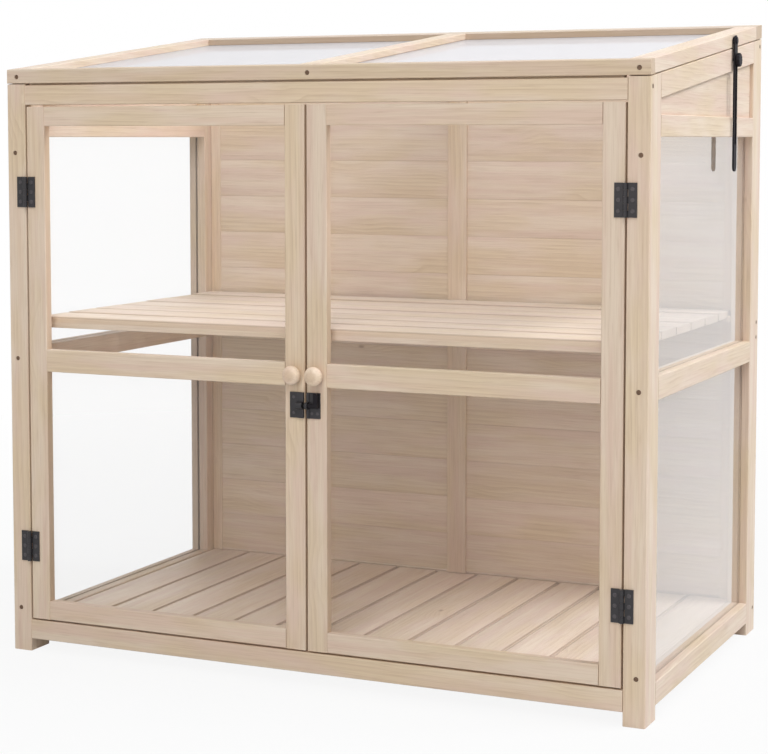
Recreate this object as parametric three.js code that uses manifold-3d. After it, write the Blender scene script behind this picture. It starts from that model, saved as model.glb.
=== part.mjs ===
// A wooden mini greenhouse: a two-tier cabinet with clear panes, two hinged doors,
// a slatted shelf and floor, and a sloping glazed lid that is held open by a slotted stay.
// Millimetres, +Z up, +X to the right and +Y to the back as seen from the doors.
import * as THREE from "three";
import { mergeVertices } from "three/addons/utils/BufferGeometryUtils.js";
import Module from "manifold-3d";

const wasm = await Module();
wasm.setup();

// Overall size
const CABINET_WIDTH = 900;
const CABINET_DEPTH = 530;
const FRONT_HEIGHT = 773.5; // front posts, at their front face
const ROOF_PITCH_DEGREES = 7.15;
const FOOT_HEIGHT = 17; // clear height under the bottom rails

// Fits, edges and cutters
const JOINT_GAP = 0.3; // between two pieces that touch
const RUN_GAP = 0.4; // between two pieces that move past each other
const EASED_EDGE = 0.9; // chamfer along the arrises of planed timber
const OVERRUN = 6; // how far a cutter runs out past a face
const WELD_DISTANCE = 0.001; // vertices closer than this are one

// Posts and rails of the cabinet
const POST_WIDTH = 28;
const POST_DEPTH = 43;
const END_RAIL_THICKNESS = 16; // header, apron and rear rails
const HEADER_HEIGHT = 26;
const HEADER_DROP = 1.5; // header top under the front edge of the posts
const APRON_HEIGHT = 26.5;
const REAR_TOP_RAIL_HEIGHT = 38;
const REAR_BOTTOM_RAIL_HEIGHT = 29;
const REAR_RAIL_DROP = 1; // rear top rail under the slope of the posts
const SIDE_BOTTOM_RAIL_HEIGHT = 29;
const SIDE_MID_RAIL_HEIGHT = 29;
const SIDE_MID_RAIL_LEVEL = 389;
const SIDE_TOP_RAIL_HEIGHT = 30;
const GABLE_RAIL_HEIGHT = 26.5;
const GABLE_RAIL_DROP = 70.5; // top of the front posts to the underside of the gable rail
const GABLE_BOARD_RECESS = 5.3;

// Clear sheets in the sides
const SHEET_THICKNESS = 3;
const SHEET_RECESS = 11; // outer face of the cabinet to the sheet
const SHEET_FIT = 0.3; // clearance of a sheet in its groove
const GROOVE_DEPTH = 6;

// Back
const BACK_BOARD_THICKNESS = 5.7;
const BACK_BOARD_COUNT = 14;
const BACK_FOOT_GAP = 2.7; // floor to the lowest board
const BACK_VEE_WIDTH = 1.4;
const BACK_VEE_DEPTH = 0.7;
const BACK_STILE_WIDTH = 30;
const BACK_STILE_THICKNESS = 6;
const BACK_EDGE_STILE_WIDTH = 16;
const BACK_EDGE_STILE_THICKNESS = 2;
const BACK_STILE_HEAD = 12; // stile top under the top of the boards
const BACK_RAIL_HEIGHT = 46;
const BACK_RAIL_LEVEL = 409;

// Floor and shelf
const FLOOR_LEVEL = 45;
const FLOOR_SLAT_COUNT = 13;
const FLOOR_SLAT_GAP = 3;
const SLAT_THICKNESS = 10;
const FLOOR_BEARER_WIDTH = 22;
const FLOOR_BEARER_HEIGHT = 14;
const SHELF_LEVEL = 460;
const SHELF_SLAT_COUNT = 7;
const SHELF_SLAT_GAP = 3;
const SHELF_DEPTH_CLEARANCE = 10; // door sheet to the shelf's front edge
const SHELF_REAR_CLEARANCE = 2.5;
const SHELF_END_SETBACK = 4; // slat ends to the posts
const SHELF_BEARER_WIDTH = 20;
const SHELF_BEARER_HEIGHT = 6;
const SHELF_BATTEN_WIDTH = 26;
const SHELF_BATTEN_COUNT = 3;

// Doors
const DOOR_THICKNESS = 15;
const DOOR_CLEARANCE = 2.5;
const MEETING_GAP = 3;
const DOOR_STILE_WIDTH = 28;
const DOOR_TOP_RAIL_HEIGHT = 26;
const DOOR_BOTTOM_RAIL_HEIGHT = 25.5;
const DOOR_MID_RAIL_HEIGHT = 30;
const DOOR_MID_RAIL_LEVEL = 386.5;
const DOOR_SHEET_THICKNESS = 2.5;
const REBATE_WIDTH = 8;
const TENON_LENGTH = 12;
const TENON_THICKNESS = 4.5;
const TENON_SETBACK = 3.8; // door face to the tenon
const TENON_SHOULDER = 5; // rail edge to the tenon

// Door knobs
const KNOB_RADIUS = 12.2;
const KNOB_HALF_DEPTH = 9;
const KNOB_STANDOUT = 19;
const KNOB_NECK_RADIUS = 7;
const KNOB_HEIGHT = 401.5;

// Butt hinges, the same on the doors and the lid
const HINGE_LENGTH = 41;
const HINGE_LEAF_REACH = 14; // pin axis to the edge of a leaf
const HINGE_LEAF_THICKNESS = 1.6;
const KNUCKLE_RADIUS = 3;
const KNUCKLE_COUNT = 5;
const PIN_RADIUS = 1.3;
const HINGE_HOLE_RADIUS = 1.7;
const HINGE_HOLE_SPACING = 13;
const HINGE_FROM_DOOR_TOP = 114.5;
const HINGE_FROM_DOOR_BOTTOM = 100;
const LID_HINGE_INSET = 150; // side of the cabinet to the middle of each lid hinge

// Sliding bolt between the doors
const LATCH_LEVEL = 363;
const LATCH_PLATE_HEIGHT = 33;
const LATCH_PLATE_THICKNESS = 1.4;
const LATCH_PLATE_INSET = 0.5; // door edge to the plate
const KEEPER_PLATE_WIDTH = 20;
const BODY_PLATE_WIDTH = 19;
const BOLT_RADIUS = 3;
const BOLT_LENGTH = 18;
const BOLT_TIP_LENGTH = 1.2;
const STRAP_THICKNESS = 1.4;
const KEEPER_STRAP_WIDTH = 9;
const BODY_STRAP_WIDTH = 3.6;
const LUG_WIDTH = 6.4;
const LUG_RISE = 16;
const LUG_THICKNESS = 5;
const LATCH_HOLE_RADIUS = 1.3;
const LATCH_HOLE_OFFSET = 10; // bolt axis to a screw hole

// Lid
const LID_GAP = 1.2; // between the lid and the top of the cabinet
const LID_THICKNESS = 18.5;
const LID_RAIL_WIDTH = 30;
const LID_FRONT_RAIL_DEPTH = 16;
const LID_SHEET_THICKNESS = 3;
const LID_SHEET_DROP = 9.4; // top of the lid rails to the sheet

// Lid stay on the right-hand side
const STAY_DISTANCE = 374; // front of the cabinet to the stay
const STAY_WIDTH = 14;
const STAY_THICKNESS = 2.4;
const STAY_LENGTH = 167; // pivot to the round of the lower end
const STAY_SPACER_THICKNESS = 1.7;
const STAY_SPACER_RADIUS = 5;
const STAY_SLOT_WIDTH = 8.8;
const STAY_SLOT_RUN = 109; // travel of the clamp screw along the slot
const STAY_PIVOT_RADIUS = 2.2;
const STAY_PIVOT_DEPTH = 12;
const STAY_RIVET_HEAD_RADIUS = 4.6;
const STAY_RIVET_HEAD_THICKNESS = 1.4;
const CLAMP_SCREW_RADIUS = 1.8;
const CLAMP_SCREW_DEPTH = 14;
const CLAMP_KNOB_RADIUS = 9.3;
const CLAMP_KNOB_THICKNESS = 5;
const CLAMP_KNOB_FLUTE = 0.8;
const CLAMP_HUB_RADIUS = 6.5;
const CLAMP_HUB_THICKNESS = 0.8;

// Facet counts
const ROUND_SEGMENTS = 16;
const HOLE_SEGMENTS = 10;
const KNOB_SEGMENTS = 24;
const CLAMP_FLUTES = 12;

// Worked out from the sizes above
const ROOF_PITCH = THREE.MathUtils.degToRad(ROOF_PITCH_DEGREES);
const HALF_WIDTH = CABINET_WIDTH / 2;
const POST_INNER = HALF_WIDTH - POST_WIDTH;
const SHEET_OUTER = HALF_WIDTH - SHEET_RECESS;
const SHEET_INNER = SHEET_OUTER - SHEET_THICKNESS;
const RAIL_START = POST_DEPTH + JOINT_GAP;
const RAIL_END = CABINET_DEPTH - POST_DEPTH - JOINT_GAP;
const HEADER_TOP = FRONT_HEIGHT - HEADER_DROP;
const GABLE_RAIL_LEVEL = FRONT_HEIGHT - GABLE_RAIL_DROP;
const REAR_RAIL_FACE = CABINET_DEPTH - END_RAIL_THICKNESS;
const BACK_FACE = REAR_RAIL_FACE - JOINT_GAP - BACK_BOARD_THICKNESS;
const DOOR_BOTTOM = FOOT_HEIGHT + APRON_HEIGHT + DOOR_CLEARANCE;
const DOOR_TOP = HEADER_TOP - HEADER_HEIGHT - DOOR_CLEARANCE;
const SHELF_FRONT = DOOR_THICKNESS + SHELF_DEPTH_CLEARANCE;
const SHELF_REAR = BACK_FACE - SHELF_REAR_CLEARANCE;
const SHELF_UNDERSIDE = SHELF_LEVEL - SLAT_THICKNESS;
const PIN_STANDOFF = JOINT_GAP + KNUCKLE_RADIUS; // mounting face to a hinge's pin axis
const LID_LIFT = LID_GAP / Math.cos(ROOF_PITCH);
const LID_RUN = CABINET_DEPTH / Math.cos(ROOF_PITCH); // length of the lid along the slope
const LID_HINGE_OFFSET = HALF_WIDTH - LID_HINGE_INSET;
const BOLT_STANDOFF = JOINT_GAP + LATCH_PLATE_THICKNESS + RUN_GAP + BOLT_RADIUS;
const BAR_INNER_FACE = HALF_WIDTH + JOINT_GAP + STAY_SPACER_THICKNESS;
const BAR_OUTER_FACE = BAR_INNER_FACE + STAY_THICKNESS;

const WOOD = new THREE.MeshStandardMaterial({ color: 0xe0cbb2, roughness: 0.6, metalness: 0 });
const TURNED_WOOD = new THREE.MeshStandardMaterial({ color: 0xe8d0b6, roughness: 0.5, metalness: 0 });
const CLEAR_SHEET = new THREE.MeshStandardMaterial({
  color: 0xf2f5f7,
  roughness: 0.08,
  metalness: 0,
  transparent: true,
  opacity: 0.25,
});
const BLACK_STEEL = new THREE.MeshStandardMaterial({ color: 0x343236, roughness: 0.45, metalness: 0.7 });

// Height of the sloping top of the cabinet at a distance from its front.
const roofHeight = (y) => FRONT_HEIGHT + y * Math.tan(ROOF_PITCH);

// Makes a closed geometry a solid that can be joined and cut.
function solidOf(geometry) {
  const bare = new THREE.BufferGeometry();
  bare.setAttribute("position", geometry.getAttribute("position").clone());
  if (geometry.index) bare.setIndex(geometry.index.clone());
  const welded = mergeVertices(bare, WELD_DISTANCE);
  return new wasm.Manifold(
    new wasm.Mesh({
      numProp: 3,
      vertProperties: welded.getAttribute("position").array,
      triVerts: new Uint32Array(welded.index.array),
    }),
  );
}

// Turns a solid back into a geometry, and leaves its edges sharp.
function geometryOf(solid) {
  const mesh = solid.getMesh();
  const geometry = new THREE.BufferGeometry();
  geometry.setAttribute("position", new THREE.BufferAttribute(mesh.vertProperties, mesh.numProp));
  geometry.setIndex(new THREE.BufferAttribute(mesh.triVerts, 1));
  const sharp = geometry.toNonIndexed();
  sharp.computeVertexNormals();
  return sharp;
}

const joined = (solids) => solids.reduce((sum, solid) => sum.add(solid));
const cut = (solid, cutters) => cutters.reduce((rest, cutter) => rest.subtract(cutter), solid);

// Adds a named piece to a group. The mesh's own origin is the middle of the piece.
function addPiece(group, name, solid, material) {
  const geometry = geometryOf(solid);
  geometry.computeBoundingBox();
  const centre = geometry.boundingBox.getCenter(new THREE.Vector3());
  geometry.translate(-centre.x, -centre.y, -centre.z);
  const mesh = new THREE.Mesh(geometry, material);
  mesh.name = name;
  mesh.position.copy(centre);
  group.add(mesh);
}

// A group whose origin is on a joint's axis. Its inner frame is the cabinet's, so that
// pieces in it are placed in the same coordinates as the rest.
function movingGroup(parent, name, axisPoint) {
  const group = new THREE.Group();
  group.name = name;
  group.position.copy(axisPoint);
  const frame = new THREE.Group();
  frame.position.copy(axisPoint).negate();
  group.add(frame);
  parent.add(group);
  return frame;
}

// The plane that an outline is drawn in, as the matrix that stands it up: an outline's
// own X, Y and thickness become the cabinet's X, Z, -Y; its Y, Z, X; or its X, Y, Z. On
// the slope an outline stands plumb, as at the front, and its thickness follows the roof.
const AXIS_X = new THREE.Vector3(1, 0, 0);
const AXIS_Y = new THREE.Vector3(0, 1, 0);
const AXIS_Z = new THREE.Vector3(0, 0, 1);
const FRONT_PLANE = new THREE.Matrix4().makeBasis(AXIS_X, AXIS_Z, AXIS_Y.clone().negate());
const SIDE_PLANE = new THREE.Matrix4().makeBasis(AXIS_Y, AXIS_Z, AXIS_X);
const LEVEL_PLANE = new THREE.Matrix4();
const SLOPE_SHEAR = new THREE.Matrix4().makeShear(0, 0, 0, Math.tan(ROOF_PITCH), 0, 0);
const SLOPE_PLANE = SLOPE_SHEAR.clone().multiply(FRONT_PLANE);

// An outline given thickness, with the edges of its two faces chamfered where edge is set.
function slab(plane, outline, start, thickness, edge = 0) {
  const geometry = new THREE.ExtrudeGeometry(outline, {
    depth: thickness - 2 * edge,
    bevelEnabled: edge > 0,
    bevelThickness: edge,
    bevelSize: edge,
    bevelOffset: -edge,
    bevelSegments: 1,
    curveSegments: ROUND_SEGMENTS / 2,
  });
  const backwards = plane === FRONT_PLANE || plane === SLOPE_PLANE;
  geometry.translate(0, 0, backwards ? edge - start - thickness : start + edge);
  geometry.applyMatrix4(plane);
  return solidOf(geometry);
}

const outlineOf = (points) => new THREE.Shape(points.map(([a, b]) => new THREE.Vector2(a, b)));
const rectangle = (a0, b0, a1, b1) => outlineOf([[a0, b0], [a1, b0], [a1, b1], [a0, b1]]);

// The section of planed timber: an outline with each corner cut off, a short way along the
// two sides that meet there.
function easedOutline(points) {
  const corners = points.map(([a, b]) => new THREE.Vector2(a, b));
  const eased = corners.flatMap((corner, index) => {
    const before = corners[(index + corners.length - 1) % corners.length];
    const after = corners[(index + 1) % corners.length];
    return [before, after].map((other) => other.clone().sub(corner).setLength(EASED_EDGE).add(corner));
  });
  return new THREE.Shape(eased);
}

const easedSection = ([a0, a1], [b0, b1]) => easedOutline([[a0, b0], [a1, b0], [a1, b1], [a0, b1]]);

// Planed timber that runs along X, along Y or along Z. Its ends are cut square.
const timberX = ([x0, x1], ySpan, zSpan) => slab(SIDE_PLANE, easedSection(ySpan, zSpan), x0, x1 - x0);
const timberY = (xSpan, [y0, y1], zSpan) => slab(FRONT_PLANE, easedSection(xSpan, zSpan), y0, y1 - y0);
const timberZ = (xSpan, ySpan, [z0, z1]) => slab(LEVEL_PLANE, easedSection(xSpan, ySpan), z0, z1 - z0);

// A plain box between two corners, for cutters and sheets.
const block = ([x0, x1], [y0, y1], [z0, z1]) =>
  slab(LEVEL_PLANE, rectangle(x0, y0, x1, y1), z0, z1 - z0);

const inOrder = (a, b) => [Math.min(a, b), Math.max(a, b)];
const grown = ([low, high], by) => [low - by, high + by];

// A round bar from one point along an axis.
function rod(start, axis, length, radius, segments = ROUND_SEGMENTS) {
  const geometry = new THREE.CylinderGeometry(radius, radius, length, segments);
  geometry.translate(0, length / 2, 0);
  geometry.applyQuaternion(new THREE.Quaternion().setFromUnitVectors(AXIS_Y, axis));
  geometry.translate(start.x, start.y, start.z);
  return solidOf(geometry);
}

// The corners of a strip between two lines that run with the slope of the roof.
const slopingCorners = (y0, y1, lowerDrop, upperDrop) => [
  [y0, roofHeight(y0) - lowerDrop],
  [y1, roofHeight(y1) - lowerDrop],
  [y1, roofHeight(y1) - upperDrop],
  [y0, roofHeight(y0) - upperDrop],
];

// The groove that holds the sheets in a post or rail on one side of the cabinet.
const groove = (side, ySpan, zSpan) =>
  block(grown(inOrder(side * SHEET_INNER, side * SHEET_OUTER), SHEET_FIT), ySpan, zSpan);

function post(side, y0) {
  const y1 = y0 + POST_DEPTH;
  const xSpan = inOrder(side * POST_INNER, side * HALF_WIDTH);
  const timber = timberZ(xSpan, [y0, y1], [0, roofHeight(y1) + OVERRUN]);
  const aboveRoof = outlineOf(slopingCorners(y0 - OVERRUN, y1 + OVERRUN, 0, -POST_DEPTH));
  const waste = slab(SIDE_PLANE, aboveRoof, xSpan[0] - OVERRUN, POST_WIDTH + 2 * OVERRUN);
  const isFront = y0 === 0;
  const grooveSpan = isFront ? [y1 - GROOVE_DEPTH, y1 + OVERRUN] : [y0 - OVERRUN, y0 + GROOVE_DEPTH];
  const grooveFoot = FOOT_HEIGHT + SIDE_BOTTOM_RAIL_HEIGHT - GROOVE_DEPTH;
  return cut(timber, [waste, groove(side, grooveSpan, [grooveFoot, roofHeight(y1) + 2 * OVERRUN])]);
}

function addPosts(cabinet) {
  for (const [sideName, side] of [["left", -1], ["right", 1]]) {
    addPiece(cabinet, `front_${sideName}_post`, post(side, 0), WOOD);
    addPiece(cabinet, `rear_${sideName}_post`, post(side, CABINET_DEPTH - POST_DEPTH), WOOD);
  }
}

function addEndRails(cabinet) {
  const span = [-POST_INNER + JOINT_GAP, POST_INNER - JOINT_GAP];
  const front = [0, END_RAIL_THICKNESS];
  const rear = [REAR_RAIL_FACE, CABINET_DEPTH];
  const header = timberX(span, front, [HEADER_TOP - HEADER_HEIGHT, HEADER_TOP]);
  addPiece(cabinet, "front_header", header, WOOD);
  const apron = timberX(span, front, [FOOT_HEIGHT, FOOT_HEIGHT + APRON_HEIGHT]);
  addPiece(cabinet, "front_bottom_rail", apron, WOOD);
  const rearSection = easedOutline(slopingCorners(...rear, REAR_TOP_RAIL_HEIGHT, REAR_RAIL_DROP));
  addPiece(cabinet, "rear_top_rail", slab(SIDE_PLANE, rearSection, span[0], span[1] - span[0]), WOOD);
  const rearBottom = timberX(span, rear, [FOOT_HEIGHT, FOOT_HEIGHT + REAR_BOTTOM_RAIL_HEIGHT]);
  addPiece(cabinet, "rear_bottom_rail", rearBottom, WOOD);
}

// A level side rail, with a groove in its top edge, its lower edge or both.
function sideRail(side, level, height, grooves) {
  const xSpan = inOrder(side * POST_INNER, side * HALF_WIDTH);
  const timber = timberY(xSpan, [RAIL_START, RAIL_END], [level, level + height]);
  const run = grown([RAIL_START, RAIL_END], OVERRUN);
  const cutters = [];
  if (grooves.top) {
    cutters.push(groove(side, run, [level + height - GROOVE_DEPTH, level + height + OVERRUN]));
  }
  if (grooves.bottom) cutters.push(groove(side, run, [level - OVERRUN, level + GROOVE_DEPTH]));
  return cut(timber, cutters);
}

// The sloping rail under the lid. A groove under it takes the gable board's tongue.
function sideTopRail(side) {
  const xSpan = inOrder(side * POST_INNER, side * HALF_WIDTH);
  const section = easedSection(xSpan, [FRONT_HEIGHT - SIDE_TOP_RAIL_HEIGHT, FRONT_HEIGHT]);
  const timber = slab(SLOPE_PLANE, section, RAIL_START, RAIL_END - RAIL_START);
  const [g0, g1] = grown(inOrder(side * SHEET_INNER, side * SHEET_OUTER), SHEET_FIT);
  const slot = slopingCorners(
    RAIL_START - OVERRUN,
    RAIL_END + OVERRUN,
    SIDE_TOP_RAIL_HEIGHT + OVERRUN,
    SIDE_TOP_RAIL_HEIGHT - GROOVE_DEPTH,
  );
  return cut(timber, [slab(SIDE_PLANE, outlineOf(slot), g0, g1 - g0)]);
}

// The board that fills the gable: a recessed panel with tongued edges over a flush rail.
function gableBoard(side) {
  const railTop = GABLE_RAIL_LEVEL + GABLE_RAIL_HEIGHT;
  const rail = sideRail(side, GABLE_RAIL_LEVEL, GABLE_RAIL_HEIGHT, { bottom: true });
  const panelOutline = (reach) => {
    const y0 = RAIL_START - reach;
    const y1 = RAIL_END + reach;
    const drop = SIDE_TOP_RAIL_HEIGHT + JOINT_GAP - reach;
    return outlineOf([
      [y0, railTop - EASED_EDGE * 2],
      [y1, railTop - EASED_EDGE * 2],
      [y1, roofHeight(y1) - drop],
      [y0, roofHeight(y0) - drop],
    ]);
  };
  const [p0, p1] = inOrder(side * SHEET_INNER, side * (HALF_WIDTH - GABLE_BOARD_RECESS));
  const panel = slab(SIDE_PLANE, panelOutline(0), p0, p1 - p0);
  const [t0] = inOrder(side * SHEET_INNER, side * SHEET_OUTER);
  const tongueReach = GROOVE_DEPTH - SHEET_FIT;
  const tongue = slab(SIDE_PLANE, panelOutline(tongueReach), t0, SHEET_THICKNESS);
  return joined([rail, panel, tongue]);
}

// A clear sheet that slides in the grooves between two levels.
function sideSheet(side, low, high) {
  const reach = GROOVE_DEPTH - SHEET_FIT;
  return block(
    inOrder(side * SHEET_INNER, side * SHEET_OUTER),
    [POST_DEPTH - reach, CABINET_DEPTH - POST_DEPTH + reach],
    [low - reach, high + reach],
  );
}

function addSides(cabinet) {
  const bottomRailTop = FOOT_HEIGHT + SIDE_BOTTOM_RAIL_HEIGHT;
  const midRailTop = SIDE_MID_RAIL_LEVEL + SIDE_MID_RAIL_HEIGHT;
  for (const [name, side] of [["left", -1], ["right", 1]]) {
    const bottomRail = sideRail(side, FOOT_HEIGHT, SIDE_BOTTOM_RAIL_HEIGHT, { top: true });
    addPiece(cabinet, `${name}_bottom_rail`, bottomRail, WOOD);
    const grooves = { top: true, bottom: true };
    const midRail = sideRail(side, SIDE_MID_RAIL_LEVEL, SIDE_MID_RAIL_HEIGHT, grooves);
    addPiece(cabinet, `${name}_mid_rail`, midRail, WOOD);
    const topRail = side > 0 ? cut(sideTopRail(side), [clampScrewHole()]) : sideTopRail(side);
    addPiece(cabinet, `${name}_top_rail`, topRail, WOOD);
    addPiece(cabinet, `${name}_gable_board`, gableBoard(side), WOOD);
    const lower = sideSheet(side, bottomRailTop, SIDE_MID_RAIL_LEVEL);
    addPiece(cabinet, `${name}_lower_side_pane`, lower, CLEAR_SHEET);
    const upper = sideSheet(side, midRailTop, GABLE_RAIL_LEVEL);
    addPiece(cabinet, `${name}_upper_side_pane`, upper, CLEAR_SHEET);
  }
}

// Horizontal boards with V joints on their inner face. Inside, a stile covers their middle
// and a thinner one each end, and a rail crosses them outside.
function backPanel() {
  const top = roofHeight(BACK_FACE) - REAR_RAIL_DROP;
  const foot = FLOOR_LEVEL + BACK_FOOT_GAP;
  const pitch = (top - foot) / BACK_BOARD_COUNT;
  const rear = BACK_FACE + BACK_BOARD_THICKNESS;
  const points = [[rear, foot], [rear, top], [BACK_FACE, top]];
  for (let joint = BACK_BOARD_COUNT - 1; joint > 0; joint -= 1) {
    const level = foot + joint * pitch;
    points.push([BACK_FACE, level + BACK_VEE_WIDTH / 2]);
    points.push([BACK_FACE + BACK_VEE_DEPTH, level]);
    points.push([BACK_FACE, level - BACK_VEE_WIDTH / 2]);
  }
  points.push([BACK_FACE, foot]);
  const half = POST_INNER - JOINT_GAP;
  const boards = slab(SIDE_PLANE, outlineOf(points), -half, 2 * half);
  const stileLevels = [FLOOR_LEVEL + JOINT_GAP, top - BACK_STILE_HEAD];
  const seat = BACK_FACE + EASED_EDGE + BACK_VEE_DEPTH;
  const middle = timberZ(
    [-BACK_STILE_WIDTH / 2, BACK_STILE_WIDTH / 2],
    [BACK_FACE - BACK_STILE_THICKNESS, seat],
    stileLevels,
  );
  const ends = [-1, 1].map((side) =>
    timberZ(
      inOrder(side * half, side * (half - BACK_EDGE_STILE_WIDTH)),
      [BACK_FACE - BACK_EDGE_STILE_THICKNESS, seat],
      stileLevels,
    ),
  );
  const railLevels = [BACK_RAIL_LEVEL, BACK_RAIL_LEVEL + BACK_RAIL_HEIGHT];
  const rail = timberX([-half, half], [rear - EASED_EDGE * 2, CABINET_DEPTH], railLevels);
  return joined([boards, middle, ...ends, rail]);
}

// Slats that run front to back on a bearer at each end.
function floorDeck() {
  const half = POST_INNER - JOINT_GAP;
  const gaps = (FLOOR_SLAT_COUNT - 1) * FLOOR_SLAT_GAP;
  const width = (2 * half - gaps) / FLOOR_SLAT_COUNT;
  const front = END_RAIL_THICKNESS + JOINT_GAP;
  const rear = BACK_FACE - JOINT_GAP;
  const underside = FLOOR_LEVEL - SLAT_THICKNESS;
  const parts = [];
  for (let slat = 0; slat < FLOOR_SLAT_COUNT; slat += 1) {
    const x0 = -half + slat * (width + FLOOR_SLAT_GAP);
    parts.push(timberY([x0, x0 + width], [front, rear], [underside, FLOOR_LEVEL]));
  }
  for (const y0 of [front, rear - FLOOR_BEARER_WIDTH]) {
    const bearerTop = underside + EASED_EDGE;
    const bearerFoot = underside - FLOOR_BEARER_HEIGHT;
    const span = [y0, y0 + FLOOR_BEARER_WIDTH];
    parts.push(block([-half, half], span, [bearerFoot, bearerTop]));
  }
  return joined(parts);
}

// Slats that run from side to side on battens, with a bearer along the front and rear
// that ends against the posts. The rear slat is notched round the back's stile.
function shelfDeck() {
  const depth = SHELF_REAR - SHELF_FRONT;
  const width = (depth - (SHELF_SLAT_COUNT - 1) * SHELF_SLAT_GAP) / SHELF_SLAT_COUNT;
  const slatEnd = POST_INNER - SHELF_END_SETBACK;
  const bearerEnd = POST_INNER - JOINT_GAP;
  const foot = SHELF_UNDERSIDE - SHELF_BEARER_HEIGHT;
  const seat = SHELF_UNDERSIDE + EASED_EDGE;
  const parts = [];
  for (let slat = 0; slat < SHELF_SLAT_COUNT; slat += 1) {
    const y0 = SHELF_FRONT + slat * (width + SHELF_SLAT_GAP);
    parts.push(timberX([-slatEnd, slatEnd], [y0, y0 + width], [SHELF_UNDERSIDE, SHELF_LEVEL]));
  }
  for (const y0 of [SHELF_FRONT, SHELF_REAR - SHELF_BEARER_WIDTH]) {
    parts.push(block([-bearerEnd, bearerEnd], [y0, y0 + SHELF_BEARER_WIDTH], [foot, seat]));
  }
  const battenReach = slatEnd - SHELF_BATTEN_WIDTH;
  for (let batten = 0; batten < SHELF_BATTEN_COUNT; batten += 1) {
    const share = batten / (SHELF_BATTEN_COUNT - 1);
    const centre = (2 * share - 1) * battenReach;
    const span = [centre - SHELF_BATTEN_WIDTH / 2, centre + SHELF_BATTEN_WIDTH / 2];
    parts.push(block(span, [SHELF_FRONT, SHELF_REAR], [foot, seat]));
  }
  const notch = block(
    grown([-BACK_STILE_WIDTH / 2, BACK_STILE_WIDTH / 2], JOINT_GAP),
    [BACK_FACE - BACK_STILE_THICKNESS - JOINT_GAP, SHELF_REAR + OVERRUN],
    [foot - OVERRUN, SHELF_LEVEL + OVERRUN],
  );
  return cut(joined(parts), [notch]);
}

// The frame of one door: rails tenoned into stiles, with a rebate at the back that takes
// the clear sheet.
function addDoorFrame(frame, name, side) {
  const hingeEdge = side * (POST_INNER - DOOR_CLEARANCE);
  const meetingEdge = (side * MEETING_GAP) / 2;
  const hingeInner = hingeEdge - side * DOOR_STILE_WIDTH;
  const meetingInner = meetingEdge + side * DOOR_STILE_WIDTH;
  const light = inOrder(hingeInner, meetingInner);
  const rails = {
    top_rail: [DOOR_TOP - DOOR_TOP_RAIL_HEIGHT, DOOR_TOP],
    mid_rail: [DOOR_MID_RAIL_LEVEL, DOOR_MID_RAIL_LEVEL + DOOR_MID_RAIL_HEIGHT],
    bottom_rail: [DOOR_BOTTOM, DOOR_BOTTOM + DOOR_BOTTOM_RAIL_HEIGHT],
  };
  const lightHeight = [rails.bottom_rail[1], rails.top_rail[0]];
  const seat = block(
    grown(light, REBATE_WIDTH),
    [DOOR_THICKNESS - DOOR_SHEET_THICKNESS - JOINT_GAP, DOOR_THICKNESS + OVERRUN],
    grown(lightHeight, REBATE_WIDTH),
  );
  const tenon = (zSpan, fit) =>
    block(
      grown(light, TENON_LENGTH + fit),
      grown([TENON_SETBACK, TENON_SETBACK + TENON_THICKNESS], fit),
      grown(zSpan, fit - TENON_SHOULDER),
    );
  const mortises = Object.values(rails).map((zSpan) => tenon(zSpan, JOINT_GAP));
  for (const [part, xSpan] of [
    ["hinge_stile", inOrder(hingeEdge, hingeInner)],
    ["meeting_stile", inOrder(meetingEdge, meetingInner)],
  ]) {
    const timber = timberZ(xSpan, [0, DOOR_THICKNESS], [DOOR_BOTTOM, DOOR_TOP]);
    addPiece(frame, `${name}_door_${part}`, cut(timber, [seat, ...mortises]), WOOD);
  }
  for (const [part, zSpan] of Object.entries(rails)) {
    const timber = timberX(grown(light, -JOINT_GAP), [0, DOOR_THICKNESS], zSpan);
    const rail = cut(timber, [seat]).add(tenon(zSpan, 0));
    addPiece(frame, `${name}_door_${part}`, rail, WOOD);
  }
  const sheet = block(
    grown(light, REBATE_WIDTH - SHEET_FIT),
    [DOOR_THICKNESS - DOOR_SHEET_THICKNESS, DOOR_THICKNESS],
    grown(lightHeight, REBATE_WIDTH - SHEET_FIT),
  );
  addPiece(frame, `${name}_door_pane`, sheet, CLEAR_SHEET);
}

// A turned ball knob on a short neck.
function doorKnob(side) {
  const centre = KNOB_STANDOUT - KNOB_HALF_DEPTH;
  const neckAngle = Math.PI - Math.asin(KNOB_NECK_RADIUS / KNOB_RADIUS);
  const profile = [new THREE.Vector2(0, 0), new THREE.Vector2(KNOB_NECK_RADIUS, 0)];
  const steps = KNOB_SEGMENTS / 2;
  for (let step = 0; step < steps; step += 1) {
    const angle = neckAngle * (1 - step / steps);
    const radius = KNOB_RADIUS * Math.sin(angle);
    profile.push(new THREE.Vector2(radius, centre + KNOB_HALF_DEPTH * Math.cos(angle)));
  }
  profile.push(new THREE.Vector2(0, KNOB_STANDOUT));
  const geometry = new THREE.LatheGeometry(profile, KNOB_SEGMENTS);
  geometry.rotateZ(Math.PI);
  geometry.translate(side * (MEETING_GAP + DOOR_STILE_WIDTH) / 2, -JOINT_GAP, KNOB_HEIGHT);
  return solidOf(geometry);
}

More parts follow.
